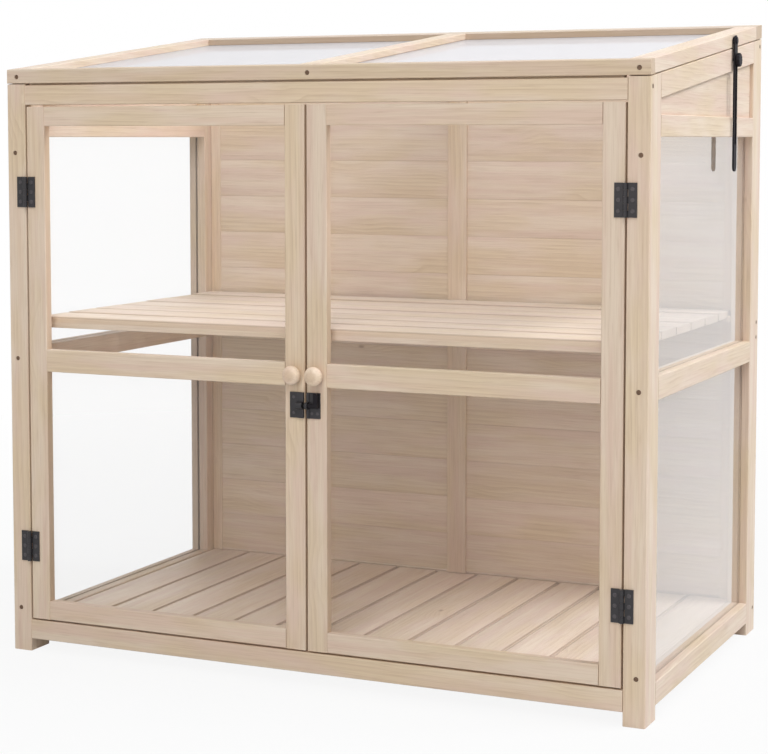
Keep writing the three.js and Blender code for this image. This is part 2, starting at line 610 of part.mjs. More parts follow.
// One leaf of a butt hinge, made about its pin: the pin runs along Z, the leaf's mounting
// face looks along -Y, and the leaf reaches to +X or -X. The frame's leaf has the odd
// knuckles and the pin, and the moving leaf has the bored knuckles between them.
function hingeLeaf(reach, hasPin) {
  const pitch = HINGE_LENGTH / KNUCKLE_COUNT;
  const foot = -HINGE_LENGTH / 2;
  const face = [-KNUCKLE_RADIUS, -KNUCKLE_RADIUS + HINGE_LEAF_THICKNESS];
  const clear = KNUCKLE_RADIUS + RUN_GAP;
  const parts = [
    block(inOrder(reach * clear, reach * HINGE_LEAF_REACH), face, [foot, foot + HINGE_LENGTH]),
  ];
  for (let knuckle = hasPin ? 0 : 1; knuckle < KNUCKLE_COUNT; knuckle += 2) {
    const z0 = foot + knuckle * pitch + JOINT_GAP / 2;
    const length = pitch - JOINT_GAP;
    parts.push(rod(new THREE.Vector3(0, 0, z0), AXIS_Z, length, KNUCKLE_RADIUS));
    parts.push(block(inOrder(0, reach * (clear + RUN_GAP)), face, [z0, z0 + length]));
  }
  const pinRadius = hasPin ? PIN_RADIUS : PIN_RADIUS + RUN_GAP;
  const overrun = hasPin ? 0 : OVERRUN;
  const pinStart = new THREE.Vector3(0, 0, foot - overrun);
  const pin = rod(pinStart, AXIS_Z, HINGE_LENGTH + 2 * overrun, pinRadius);
  const middle = (reach * (clear + HINGE_LEAF_REACH)) / 2;
  const holes = [-1, 0, 1].map((place) =>
    rod(
      new THREE.Vector3(middle, face[0] - OVERRUN, place * HINGE_HOLE_SPACING),
      AXIS_Y,
      HINGE_LEAF_THICKNESS + 2 * OVERRUN,
      HINGE_HOLE_RADIUS,
      HOLE_SEGMENTS,
    ),
  );
  const leaf = hasPin ? joined([...parts, pin]) : cut(joined(parts), [pin]);
  return cut(leaf, holes);
}

// Adds both leaves of a hinge to the two frames that they are screwed to.
function addHinge(fixedFrame, movingFrame, names, placement) {
  const place = (solid) => {
    const geometry = geometryOf(solid);
    geometry.applyMatrix4(placement.matrix);
    return solidOf(geometry);
  };
  addPiece(fixedFrame, names.fixed, place(hingeLeaf(placement.fixedReach, true)), BLACK_STEEL);
  addPiece(movingFrame, names.moving, place(hingeLeaf(-placement.fixedReach, false)), BLACK_STEEL);
}

// The pin axis of a door's hinges, in front of the gap between the door and its post.
const doorAxis = (side) =>
  new THREE.Vector3(side * (POST_INNER - DOOR_CLEARANCE / 2), -PIN_STANDOFF, 0);

function addDoorHinges(cabinet, frame, name, side) {
  const levels = {
    upper: DOOR_TOP - HINGE_FROM_DOOR_TOP,
    lower: DOOR_BOTTOM + HINGE_FROM_DOOR_BOTTOM,
  };
  for (const [place, level] of Object.entries(levels)) {
    const matrix = new THREE.Matrix4().makeRotationZ(Math.PI);
    matrix.setPosition(doorAxis(side).setZ(level));
    const names = {
      fixed: `${name}_${place}_hinge_frame_leaf`,
      moving: `${name}_${place}_hinge_door_leaf`,
    };
    addHinge(cabinet, frame, names, { matrix, fixedReach: -side });
  }
}

// A pressed strap that arches over the bolt, with flat feet along the plate.
function latchStrap(xSpan) {
  const face = -JOINT_GAP - LATCH_PLATE_THICKNESS;
  const arch = (radius, foot) => {
    const outline = new THREE.Shape();
    outline.moveTo(foot, LATCH_LEVEL + radius);
    outline.lineTo(-BOLT_STANDOFF, LATCH_LEVEL + radius);
    outline.absarc(-BOLT_STANDOFF, LATCH_LEVEL, radius, Math.PI / 2, (3 * Math.PI) / 2, false);
    outline.lineTo(foot, LATCH_LEVEL - radius);
    outline.closePath();
    return outline;
  };
  const inner = BOLT_RADIUS + RUN_GAP;
  const half = LATCH_PLATE_HEIGHT / 2;
  const flat = block(
    xSpan,
    [face - STRAP_THICKNESS, face + LATCH_PLATE_THICKNESS / 2],
    [LATCH_LEVEL - half, LATCH_LEVEL + half],
  );
  const width = xSpan[1] - xSpan[0];
  const hoopOutline = arch(inner + STRAP_THICKNESS, face + LATCH_PLATE_THICKNESS / 2);
  const hoop = slab(SIDE_PLANE, hoopOutline, xSpan[0], width);
  const way = slab(SIDE_PLANE, arch(inner, face), xSpan[0] - OVERRUN, width + 2 * OVERRUN);
  return { solid: joined([flat, hoop]), way };
}

// A latch plate on a door's face, with its strap and its screw holes.
function latchPlate(xSpan, strapSpan, holes) {
  const half = LATCH_PLATE_HEIGHT / 2;
  const plate = block(
    xSpan,
    [-JOINT_GAP - LATCH_PLATE_THICKNESS, -JOINT_GAP],
    [LATCH_LEVEL - half, LATCH_LEVEL + half],
  );
  const strap = latchStrap(strapSpan);
  const drills = holes.map(([x, offset]) =>
    rod(
      new THREE.Vector3(x, -JOINT_GAP - LATCH_PLATE_THICKNESS - OVERRUN, LATCH_LEVEL + offset),
      AXIS_Y,
      LATCH_PLATE_THICKNESS + 2 * OVERRUN,
      LATCH_HOLE_RADIUS,
      HOLE_SEGMENTS,
    ),
  );
  return cut(plate.add(cut(strap.solid, [strap.way])), drills);
}

// The keeper on the left door and the bolt's body on the right one.
function addLatchPlates(leftDoor, rightDoor) {
  const edge = MEETING_GAP / 2 + LATCH_PLATE_INSET;
  const keeperSpan = [-edge - KEEPER_PLATE_WIDTH, -edge];
  const keeperHole = (keeperSpan[0] + keeperSpan[1] - KEEPER_STRAP_WIDTH) / 2;
  const keeper = latchPlate(
    keeperSpan,
    [-edge - KEEPER_STRAP_WIDTH, -edge],
    [[keeperHole, LATCH_HOLE_OFFSET], [keeperHole, -LATCH_HOLE_OFFSET]],
  );
  addPiece(leftDoor, "latch_keeper", keeper, BLACK_STEEL);
  const bodySpan = [edge, edge + BODY_PLATE_WIDTH];
  const free = BODY_PLATE_WIDTH - BODY_STRAP_WIDTH;
  const holeStart = edge + BODY_STRAP_WIDTH;
  const body = latchPlate(
    bodySpan,
    [edge, edge + BODY_STRAP_WIDTH],
    [[holeStart + free / 4, -LATCH_HOLE_OFFSET], [holeStart + (3 * free) / 4, -LATCH_HOLE_OFFSET]],
  );
  addPiece(rightDoor, "latch_body", body, BLACK_STEEL);
}

// The bolt, drawn back, with a lug that stands up beside it for the finger.
function latchBolt() {
  const start = new THREE.Vector3(MEETING_GAP / 2 + LATCH_PLATE_INSET, -BOLT_STANDOFF, LATCH_LEVEL);
  const tip = new THREE.CylinderGeometry(BOLT_RADIUS, BOLT_RADIUS / 2, BOLT_TIP_LENGTH, ROUND_SEGMENTS);
  tip.rotateZ(-Math.PI / 2);
  tip.translate(start.x + BOLT_TIP_LENGTH / 2, start.y, start.z);
  const shankStart = start.clone().setX(start.x + BOLT_TIP_LENGTH);
  const shank = rod(shankStart, AXIS_X, BOLT_LENGTH - BOLT_TIP_LENGTH, BOLT_RADIUS);
  const lugEnd = start.x + BOLT_LENGTH - RUN_GAP;
  const lugOutline = rectangle(lugEnd - LUG_WIDTH, LATCH_LEVEL, lugEnd, LATCH_LEVEL + LUG_RISE);
  const lugStart = -BOLT_STANDOFF - LUG_THICKNESS / 2;
  const lug = slab(FRONT_PLANE, lugOutline, lugStart, LUG_THICKNESS, EASED_EDGE);
  return joined([solidOf(tip), shank, lug]);
}

// The lid is built flat, with Y along the slope from its front edge and Z up from its
// underside. Its front and rear faces are cut so that they stand plumb on the slope.
function addLid(lidFrame) {
  const pitched = new THREE.Group();
  pitched.position.set(0, 0, FRONT_HEIGHT + LID_LIFT);
  pitched.rotation.x = ROOF_PITCH;
  lidFrame.add(pitched);
  const lean = LID_THICKNESS * Math.tan(ROOF_PITCH);
  const sheetTop = LID_THICKNESS - LID_SHEET_DROP;
  const sheetSpan = [sheetTop - LID_SHEET_THICKNESS, sheetTop];
  const frontInner = LID_FRONT_RAIL_DEPTH;
  const rearInner = LID_RUN - LID_RAIL_WIDTH;
  const sideInner = HALF_WIDTH - LID_RAIL_WIDTH;
  const groovePocket = block(
    grown([-sideInner, sideInner], GROOVE_DEPTH),
    grown([frontInner, rearInner], GROOVE_DEPTH),
    grown(sheetSpan, SHEET_FIT),
  );
  const ends = {
    front_rail: [[0, 0], [frontInner, 0], [frontInner, LID_THICKNESS], [lean, LID_THICKNESS]],
    rear_rail: [[rearInner, 0], [LID_RUN, 0], [LID_RUN + lean, LID_THICKNESS], [rearInner, LID_THICKNESS]],
  };
  for (const [part, points] of Object.entries(ends)) {
    const timber = slab(SIDE_PLANE, easedOutline(points), -HALF_WIDTH, CABINET_WIDTH);
    addPiece(pitched, `lid_${part}`, cut(timber, [groovePocket]), WOOD);
  }
  const run = [frontInner + JOINT_GAP, rearInner - JOINT_GAP];
  const leftRail = timberY([-HALF_WIDTH, -sideInner], run, [0, LID_THICKNESS]);
  addPiece(pitched, "lid_left_rail", cut(leftRail, [groovePocket]), WOOD);
  const rightRail = timberY([sideInner, HALF_WIDTH], run, [0, LID_THICKNESS]);
  addPiece(pitched, "lid_right_rail", cut(rightRail, [groovePocket, pivotHole()]), WOOD);
  const barSpan = [-LID_RAIL_WIDTH / 2, LID_RAIL_WIDTH / 2];
  const bar = timberY(barSpan, run, [sheetTop + JOINT_GAP, LID_THICKNESS]);
  addPiece(pitched, "lid_centre_bar", bar, WOOD);
  const sheet = block(
    grown([-sideInner, sideInner], GROOVE_DEPTH - SHEET_FIT),
    grown([frontInner, rearInner], GROOVE_DEPTH - SHEET_FIT),
    sheetSpan,
  );
  addPiece(pitched, "lid_pane", sheet, CLEAR_SHEET);
}

// Where the stay turns on the lid, at half the lid's thickness.
const stayPivot = new THREE.Vector3(
  HALF_WIDTH,
  STAY_DISTANCE,
  roofHeight(STAY_DISTANCE) + LID_LIFT + LID_THICKNESS / 2 / Math.cos(ROOF_PITCH),
);
// Where the clamp screw enters the sloping side rail, straight below the pivot.
const clampPoint = new THREE.Vector3(
  HALF_WIDTH,
  STAY_DISTANCE,
  roofHeight(STAY_DISTANCE) - SIDE_TOP_RAIL_HEIGHT / 2,
);

// The bore for the stay's pivot in the lid's right rail, in the lid's own flat frame.
function pivotHole() {
  const rise = stayPivot.z - FRONT_HEIGHT - LID_LIFT;
  const along = STAY_DISTANCE * Math.cos(ROOF_PITCH) + rise * Math.sin(ROOF_PITCH);
  const start = new THREE.Vector3(HALF_WIDTH - STAY_PIVOT_DEPTH - RUN_GAP, along, LID_THICKNESS / 2);
  return rod(start, AXIS_X, STAY_PIVOT_DEPTH + OVERRUN, STAY_PIVOT_RADIUS + RUN_GAP, HOLE_SEGMENTS);
}

function clampScrewHole() {
  const start = clampPoint.clone().setX(HALF_WIDTH - CLAMP_SCREW_DEPTH - RUN_GAP);
  return rod(start, AXIS_X, CLAMP_SCREW_DEPTH + OVERRUN, CLAMP_SCREW_RADIUS + RUN_GAP, HOLE_SEGMENTS);
}

// An outline with straight sides and round ends, between two heights.
function roundEndedOutline(Outline, low, high, radius) {
  const outline = new Outline();
  outline.moveTo(STAY_DISTANCE - radius, high);
  outline.lineTo(STAY_DISTANCE - radius, low);
  outline.absarc(STAY_DISTANCE, low, radius, Math.PI, 2 * Math.PI, false);
  outline.lineTo(STAY_DISTANCE + radius, high);
  outline.absarc(STAY_DISTANCE, high, radius, 0, Math.PI, false);
  return outline;
}

// The slotted bar with its spacer, its pivot in the lid and the pivot's head.
function stayBar() {
  const outline = roundEndedOutline(
    THREE.Shape,
    stayPivot.z - STAY_LENGTH,
    stayPivot.z,
    STAY_WIDTH / 2,
  );
  const slotRadius = STAY_SLOT_WIDTH / 2;
  outline.holes.push(
    roundEndedOutline(THREE.Path, clampPoint.z - STAY_SLOT_RUN, clampPoint.z, slotRadius),
  );
  const bar = slab(SIDE_PLANE, outline, BAR_INNER_FACE, STAY_THICKNESS);
  const at = (x) => stayPivot.clone().setX(x);
  const spacer = rod(at(HALF_WIDTH + JOINT_GAP), AXIS_X, STAY_SPACER_THICKNESS, STAY_SPACER_RADIUS);
  const shankStart = HALF_WIDTH - STAY_PIVOT_DEPTH;
  const shank = rod(at(shankStart), AXIS_X, BAR_OUTER_FACE - shankStart, STAY_PIVOT_RADIUS, HOLE_SEGMENTS);
  const head = rod(at(BAR_OUTER_FACE), AXIS_X, STAY_RIVET_HEAD_THICKNESS, STAY_RIVET_HEAD_RADIUS);
  return joined([bar, spacer, shank, head]);
}

// The fluted knob whose screw passes through the slot and clamps the bar.
function clampKnob() {
  const hubStart = BAR_OUTER_FACE + RUN_GAP;
  const discStart = hubStart + CLAMP_HUB_THICKNESS;
  const points = [];
  const steps = CLAMP_FLUTES * 4;
  for (let step = 0; step < steps; step += 1) {
    const angle = (2 * Math.PI * step) / steps;
    const flute = (CLAMP_KNOB_FLUTE * (1 - Math.cos(CLAMP_FLUTES * angle))) / 2;
    const radius = CLAMP_KNOB_RADIUS - flute;
    points.push([
      clampPoint.y + radius * Math.cos(angle),
      clampPoint.z + radius * Math.sin(angle),
    ]);
  }
  const disc = slab(SIDE_PLANE, outlineOf(points), discStart, CLAMP_KNOB_THICKNESS, EASED_EDGE);
  const at = (x) => clampPoint.clone().setX(x);
  const hub = rod(at(hubStart), AXIS_X, CLAMP_HUB_THICKNESS + EASED_EDGE, CLAMP_HUB_RADIUS);
  const screwStart = HALF_WIDTH - CLAMP_SCREW_DEPTH;
  const screw = rod(at(screwStart), AXIS_X, discStart - screwStart, CLAMP_SCREW_RADIUS, HOLE_SEGMENTS);
  return joined([disc, hub, screw]);
}

// The lid's pin axis, behind the gap between the lid and the rear rail.
const lidAxis = new THREE.Vector3(
  0,
  CABINET_DEPTH + PIN_STANDOFF,
  roofHeight(CABINET_DEPTH) + LID_LIFT / 2,
);

function addLidHinges(cabinet, lidFrame) {
  for (const [name, side] of [["left", -1], ["right", 1]]) {
    const matrix = new THREE.Matrix4().makeBasis(AXIS_Z.clone().negate(), AXIS_Y, AXIS_X);
    matrix.setPosition(lidAxis.clone().setX(side * LID_HINGE_OFFSET));
    const names = {
      fixed: `lid_${name}_hinge_frame_leaf`,
      moving: `lid_${name}_hinge_lid_leaf`,
    };
    addHinge(cabinet, lidFrame, names, { matrix, fixedReach: 1 });
  }
}

function buildGreenhouse() {
  const cabinet = new THREE.Group();
  cabinet.name = "cabinet";
  addPosts(cabinet);
  addEndRails(cabinet);
  addSides(cabinet);
  addPiece(cabinet, "back_panel", backPanel(), WOOD);
  addPiece(cabinet, "floor_deck", floorDeck(), WOOD);
  addPiece(cabinet, "shelf_deck", shelfDeck(), WOOD);

  const doors = {};
  for (const [name, side] of [["left", -1], ["right", 1]]) {
    const frame = movingGroup(cabinet, `${name}_door`, doorAxis(side));
    addDoorFrame(frame, name, side);
    addPiece(frame, `${name}_door_knob`, doorKnob(side), TURNED_WOOD);
    addDoorHinges(cabinet, frame, name, side);
    doors[name] = frame;
  }
  addLatchPlates(doors.left, doors.right);
  const boltAxis = new THREE.Vector3(MEETING_GAP / 2, -BOLT_STANDOFF, LATCH_LEVEL);
  addPiece(movingGroup(doors.right, "bolt", boltAxis), "latch_bolt", latchBolt(), BLACK_STEEL);

  const lidFrame = movingGroup(cabinet, "lid", lidAxis);
  addLid(lidFrame);
  addLidHinges(cabinet, lidFrame);
  addPiece(movingGroup(lidFrame, "stay", stayPivot), "stay_bar", stayBar(), BLACK_STEEL);
  addPiece(movingGroup(cabinet, "clamp", clampPoint), "stay_clamp_knob", clampKnob(), BLACK_STEEL);
  return cabinet;
}

// The finished object stands on the ground plane with its box centred over the origin.
const greenhouse = new THREE.Group();
const cabinetModel = buildGreenhouse();
const bounds = new THREE.Box3().setFromObject(cabinetModel, true);
const middle = bounds.getCenter(new THREE.Vector3());
cabinetModel.position.set(-middle.x, -middle.y, -bounds.min.z);
greenhouse.add(cabinetModel);

export default greenhouse;
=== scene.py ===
"""Dresses the wooden mini greenhouse and sets it in a plain studio.

The rails, the doors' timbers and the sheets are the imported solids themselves, dressed in
planed pine and clear plastic. The slats, the back's boards, the drilled posts, the knobs, the
fittings with their softened edges, the strip on the header and every screw are built here.
Sub-assemblies hold their sizes in millimetres. Points, meshes, BoardRow, Timber and the
studio are in metres.
"""

import logging
import math
import random
from dataclasses import dataclass, field
from enum import Enum

import bmesh
import bpy
from mathutils import Matrix, Vector


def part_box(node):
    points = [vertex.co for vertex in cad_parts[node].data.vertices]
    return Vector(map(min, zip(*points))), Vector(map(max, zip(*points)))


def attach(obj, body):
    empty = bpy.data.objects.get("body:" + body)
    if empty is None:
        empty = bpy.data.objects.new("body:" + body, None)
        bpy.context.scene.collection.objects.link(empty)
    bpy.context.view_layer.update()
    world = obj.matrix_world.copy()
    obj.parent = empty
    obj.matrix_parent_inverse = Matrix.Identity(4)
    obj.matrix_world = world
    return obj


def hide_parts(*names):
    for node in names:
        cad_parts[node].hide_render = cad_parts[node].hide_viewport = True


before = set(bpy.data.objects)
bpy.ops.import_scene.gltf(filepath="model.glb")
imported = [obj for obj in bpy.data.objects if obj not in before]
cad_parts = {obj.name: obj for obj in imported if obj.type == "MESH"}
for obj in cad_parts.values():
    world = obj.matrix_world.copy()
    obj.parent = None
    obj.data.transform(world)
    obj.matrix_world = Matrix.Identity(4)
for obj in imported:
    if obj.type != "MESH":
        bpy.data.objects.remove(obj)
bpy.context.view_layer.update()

LOG = logging.getLogger("greenhouse")
MM = 0.001
BOARD_ATTRIBUTE = "board"

# The middle of the cabinet at its front face, in the shared frame, in millimetres
CABINET_MIDDLE = Vector((-5.3, -258.5, 0.0))

# Sizes in millimetres that several sub-assemblies share
HALF_WIDTH = 450.0
POST_INNER = 422.0
CABINET_DEPTH = 530.0
BACK_FACE = 508.0
ROOF_START = 773.5
LID_GAP = 1.2
JOINT_GAP = 0.3
ARRIS = 0.9

# The roof's slope in degrees
ROOF_SLOPE = 7.15

# Nearly all of a noise texture's values lie between these
NOISE_LOW, NOISE_HIGH = 0.3, 0.7

# How closely a normal follows an axis: on a face that looks along it, and on one that is no arris
FACING_LEAN = (0.8, 0.95)
FLAT_LEAN = (0.95, 0.99)

# Length of one band of a diagonal wave texture at scale 1
WAVE_BAND = 0.628

# Angles in degrees: inside a flat face, at a crease that stays sharp, and at an edge that is rounded
FLAT_ANGLE, CREASE_ANGLE, ROUNDED_ANGLE = 0.5, 32, 40

# Corners of a CAD node that lie closer than this many metres are one
SAME_POINT = 1e-6

# An edge counts as running along an axis when its direction holds more than this much of it
PARALLEL = 0.9

# How far the pine's pattern moves in metres, from a board to one a whole number on, and from seed to seed
BOARD_JUMP = (7.3, 5.9, 6.7)
TRUNK_STEP = Vector((0.61, 0.43, 0.37))
PINE_SEEDS = 5

# The slats' settling is drawn with a seed that lies this far from the one of their numbers
SETTLING_SEED_STEP = 17.0

AHEAD = Vector((0, -1, 0))
WHITE = "#FFFFFF"


def place(x: float, y: float, z: float) -> Vector:
    """Turns a point measured from the cabinet's front middle into the shared frame.

    Args:
        x: Millimetres to the right of the cabinet's middle.
        y: Millimetres behind the front faces of the posts.
        z: Millimetres above the ground.

    Returns:
        The point in metres.
    """
    return (CABINET_MIDDLE + Vector((x, y, z))) * MM


def roof_height(y: float) -> float:
    """Returns the height in millimetres of the cabinet's sloping top at a distance from its front."""
    return ROOF_START + y * math.tan(math.radians(ROOF_SLOPE))


def lid_underside(y: float) -> float:
    """Returns the height in millimetres of the closed lid's underside at a distance from the front."""
    return roof_height(y) + LID_GAP


def linear(code: str) -> tuple[float, float, float, float]:
    """Turns a colour written as #RRGGBB into the linear values that a shader takes.

    Args:
        code: The colour in sRGB, as seven characters.

    Returns:
        Red, green, blue and a full alpha.
    """
    parts = [int(code[start : start + 2], 16) / 255 for start in (1, 3, 5)]
    red, green, blue = (
        part / 12.92 if part <= 0.04045 else ((part + 0.055) / 1.055) ** 2.4 for part in parts
    )
    return red, green, blue, 1.0


def add_node(
    tree: bpy.types.NodeTree, kind: str, inputs: dict[str | int, object] | None = None, **settings: object
) -> bpy.types.Node:
    """Adds one node to a tree.

    Args:
        tree: The shader or geometry tree.
        kind: The node's type name.
        inputs: What feeds each input, by name or number: a socket to link or a value to set.
        settings: The node's own settings.

    Returns:
        The node.
    """
    node = tree.nodes.new(kind)
    for name, value in settings.items():
        setattr(node, name, value)
    for key, value in (inputs or {}).items():
        if isinstance(value, bpy.types.NodeSocket):
            tree.links.new(value, node.inputs[key])
        else:
            node.inputs[key].default_value = value
    return node


def emptied(owner: bpy.types.Material | bpy.types.World) -> bpy.types.NodeTree:
    """Gives a new material or world a node tree with nothing in it.

    Args:
        owner: The material or world.

    Returns:
        Its tree.
    """
    owner.use_nodes = True
    owner.node_tree.nodes.clear()
    return owner.node_tree


def in_scene(name: str, data: bpy.types.ID) -> bpy.types.Object:
    """Makes an object and puts it in the scene.

    Args:
        name: The object's name.
        data: The mesh, lamp or camera that it shows.

    Returns:
        The object.
    """
    made = bpy.data.objects.new(name, data)
    bpy.context.scene.collection.objects.link(made)
    return made


def closed_mesh(shape: bmesh.types.BMesh, name: str) -> bpy.types.Mesh:
    """Turns a shape under construction into a mesh, and frees the shape.

    Args:
        shape: The shape.
        name: The mesh's name.

    Returns:
        The mesh.
    """
    mesh = bpy.data.meshes.new(name)
    shape.to_mesh(mesh)
    shape.free()
    return mesh


class Grain(Enum):
    """The axis that a board's fibres run along."""

    ALONG_X = 0
    ALONG_Y = 1
    ALONG_Z = 2

    def scale(self, along: float, across: float) -> tuple[float, float, float]:
        """Works out a pattern's scale from the sizes that it has on the board.

        Args:
            along: Size in millimetres of one feature along the fibres.
            across: Its size across them.

        Returns:
            The pattern's scale along X, Y and Z, in features a metre.
        """
        sizes = [across] * 3
        sizes[self.value] = along
        return tuple(1 / (size * MM) for size in sizes)

    def letter(self) -> str:
        """Returns the axis as a small letter."""
        return "xyz"[self.value]

    def unit(self) -> Vector:
        """Returns the direction of the fibres."""
        return Vector([float(axis == self.value) for axis in range(3)])


@dataclass(frozen=True)
class Finish:
    """A surface finish. Finishes with equal values share one material."""

    def label(self) -> str:
        """Returns the material's name, which Blender would cut after 63 characters."""
        return type(self).__name__

    def surface(self, tree: bpy.types.NodeTree) -> bpy.types.NodeSocket:
        """Builds the shader.

        Args:
            tree: The material's empty tree.

        Returns:
            The socket that shows it.
        """
        raise NotImplementedError

    def material(self) -> bpy.types.Material:
        """Looks the finish's material up, and makes it the first time.

        Returns:
            The material.
        """
        made = bpy.data.materials.get(self.label())
        if made is None:
            made = bpy.data.materials.new(self.label())
            tree = emptied(made)
            add_node(tree, "ShaderNodeOutputMaterial", {"Surface": self.surface(tree)})
        return made


@dataclass(frozen=True)
class Figure:
    """One feature of the wood's figure, made by a noise that is drawn out along the fibres.

    Its sizes are in millimetres. It starts to show at one level of the noise and is full
    at another.
    """

    along: float
    across: float
    layers: float
    starts: float
    full: float


@dataclass(frozen=True)
class PlanedPine(Finish):
    """Knotty pine, machine planed and left bare.

    It gives the eye a pale, almost matt surface: faint bands of cream, flesh and straw
    along the fibres, thin darker growth rings, and here and there a small knot that the
    rings flow round. Sawn ends are a shade darker. The faces along one more axis get
    painted shade in the same darker colour, as shade in the gaps beside them and on
    faces that get less light.
    """

    grain: Grain
    seed: int = 0
    pale: str = "#E8D6C3"
    flesh: str = "#E0C6B5"
    straw: str = "#E3CFB1"
    ring: str = "#B59677"
    streak: str = "#A5805F"
    knot: str = "#8F6A50"
    sawn: str = "#C9AD90"
    # Real resin streaks are under 1 mm wide. They are drawn 3 mm wide so that they show.
    streaks: Figure = Figure(46.0, 3.0, 2.0, 0.58, 0.76)
    bands: Figure = Figure(300.0, 15.0, 3.0, 0.4, 0.6)
    patches: Figure = Figure(170.0, 48.0, 2.0, 0.45, 0.64)
    fibres: Figure = Figure(70.0, 1.5, 2.0, 0.45, 0.75)
    flesh_share: float = 0.8
    straw_share: float = 0.75
    ring_share: float = 0.28
    fibre_share: float = 0.24
    streak_share: float = 0.18
    knot_share: float = 0.6
    sawn_share: float = 0.5
    knot_along: float = 190.0
    knot_across: float = 95.0
    knot_rim: tuple[float, float] = (0.025, 0.045)
    knot_reach: float = 0.3
    ring_spacing: float = 7.0
    ring_run: float = 60.0
    ring_bend: float = 0.5
    ring_wander: float = 11.0
    ring_edge: float = 2.5
    board_spread: float = 0.08
    relief: float = 0.25
    roughness: float = 0.55
    smoother: float = 0.06
    rougher: float = 0.08
    fuzz: float = 0.06
    tone: float = 1.0
    # Painted shade: how much the rounded arrises take the knot colour, as shade in the joints
    arris_shade: float = 0.0
    # Painted shade: the faces along this axis are tinted in the end grain's darker colour
    rough_edge: Grain | None = None

    def label(self) -> str:
        """Names the material after all that sets one pine apart from another.

        Returns:
            The name.
        """
        parts = ["planed_pine", self.grain.letter(), str(self.seed), str(round(100 * self.tone))]
        if self.rough_edge:
            parts.append(f"rough_{self.rough_edge.letter()}")
        if self.arris_shade:
            parts.append(f"arris_{round(100 * self.arris_shade)}")
        parts += [colour.lstrip("#").lower() for colour in (self.pale, self.flesh, self.straw)]
        return "_".join(parts)

    def board_place(self, tree: bpy.types.NodeTree) -> bpy.types.NodeSocket:
        """Places a board in a trunk of its own: each seed and each board's number moves the pattern.

        Args:
            tree: The material's tree.

        Returns:
            The vector that the patterns read.
        """
        where = add_node(tree, "ShaderNodeTexCoord")
        board = add_node(tree, "ShaderNodeAttribute", attribute_name=BOARD_ATTRIBUTE)
        jump = add_node(
            tree,
            "ShaderNodeVectorMath",
            {0: BOARD_JUMP, "Scale": board.outputs["Fac"]},
            operation="SCALE",
        )
        moved = add_node(tree, "ShaderNodeVectorMath", {0: where.outputs["Object"], 1: jump.outputs[0]})
        trunk = TRUNK_STEP * self.seed
        return add_node(tree, "ShaderNodeVectorMath", {0: moved.outputs[0], 1: trunk}).outputs[0]

    def pattern(
        self, tree: bpy.types.NodeTree, where: bpy.types.NodeSocket, figure: Figure
    ) -> tuple[bpy.types.NodeSocket, bpy.types.NodeSocket]:
        """Adds one feature of the wood's figure.

        Args:
            tree: The material's tree.
            where: The vector to read.
            figure: The feature.

        Returns:
            Its noise, from 0 to 1, and the mask of where it shows.
        """
        scaled = add_node(
            tree,
            "ShaderNodeMapping",
            {"Vector": where, "Scale": self.grain.scale(figure.along, figure.across)},
        )
        noise = add_node(
            tree,
            "ShaderNodeTexNoise",
            {"Vector": scaled.outputs[0], "Scale": 1.0, "Detail": figure.layers, "Roughness": 0.55},
        ).outputs[0]
        shown = add_node(tree, "ShaderNodeMapRange", {0: noise, 1: figure.starts, 2: figure.full})
        return noise, shown.outputs[0]

    def knots(
        self, tree: bpy.types.NodeTree, where: bpy.types.NodeSocket
    ) -> tuple[bpy.types.NodeSocket, bpy.types.NodeSocket]:
        """Scatters small knots, with one in each cell of the pattern.

        Args:
            tree: The material's tree.
            where: The vector to read.

        Returns:
            The mask of the knots, and how near each point is to one.
        """
        size = self.grain.scale(self.knot_along, self.knot_across)
        scaled = add_node(tree, "ShaderNodeMapping", {"Vector": where, "Scale": size})
        cells = add_node(tree, "ShaderNodeTexVoronoi", {"Vector": scaled.outputs[0], "Scale": 1.0})
        reach = cells.outputs["Distance"]
        masks = [
            add_node(tree, "ShaderNodeMapRange", {0: reach, 1: inner, 2: outer, 3: 1.0, 4: 0.0})
            for inner, outer in (self.knot_rim, (0.0, self.knot_reach))
        ]
        return masks[0].outputs[0], masks[1].outputs[0]

    def rings(
        self, tree: bpy.types.NodeTree, where: bpy.types.NodeSocket, near: bpy.types.NodeSocket
    ) -> bpy.types.NodeSocket:
        """Draws the growth rings as bands that run nearly along the fibres and part round a knot.

        Args:
            tree: The material's tree.
            where: The vector to read.
            near: How near each point is to a knot.

        Returns:
            The rings, from 0 in the soft early wood to 1 in the hard late wood.
        """
        across = self.ring_spacing / WAVE_BAND
        size = self.grain.scale(across * self.ring_run, across)
        scaled = add_node(tree, "ShaderNodeMapping", {"Vector": where, "Scale": size})
        bend = add_node(
            tree, "ShaderNodeVectorMath", {0: [self.ring_bend] * 3, "Scale": near}, operation="SCALE"
        )
        bent = add_node(tree, "ShaderNodeVectorMath", {0: scaled.outputs[0], 1: bend.outputs[0]})
        wave = add_node(
            tree,
            "ShaderNodeTexWave",
            {
                "Vector": bent.outputs[0],
                "Scale": 1.0,
                "Distortion": self.ring_wander,
                "Detail": 3.0,
                "Detail Scale": 0.35,
            },
            bands_direction="DIAGONAL",
            wave_profile="SAW",
        )
        return wave.outputs["Fac"]

    def tinted(
        self,
        tree: bpy.types.NodeTree,
        base: bpy.types.NodeSocket | tuple[float, ...],
        over: str,
        share: bpy.types.NodeSocket,
        most: float,
    ) -> bpy.types.NodeSocket:
        """Lays a colour over another.

        Args:
            tree: The material's tree.
            base: What lies under it.
            over: The colour that is laid over, as #RRGGBB.
            share: Where it lies, from 0 to 1.
            most: How much of it shows where the share is 1.

        Returns:
            The mixed colour.
        """
        amount = add_node(tree, "ShaderNodeMath", {0: share, 1: most}, operation="MULTIPLY")
        mixed = add_node(
            tree,
            "ShaderNodeMix",
            {"Factor": amount.outputs[0], 6: base, 7: linear(over)},
            data_type="RGBA",
        )
        return mixed.outputs[2]

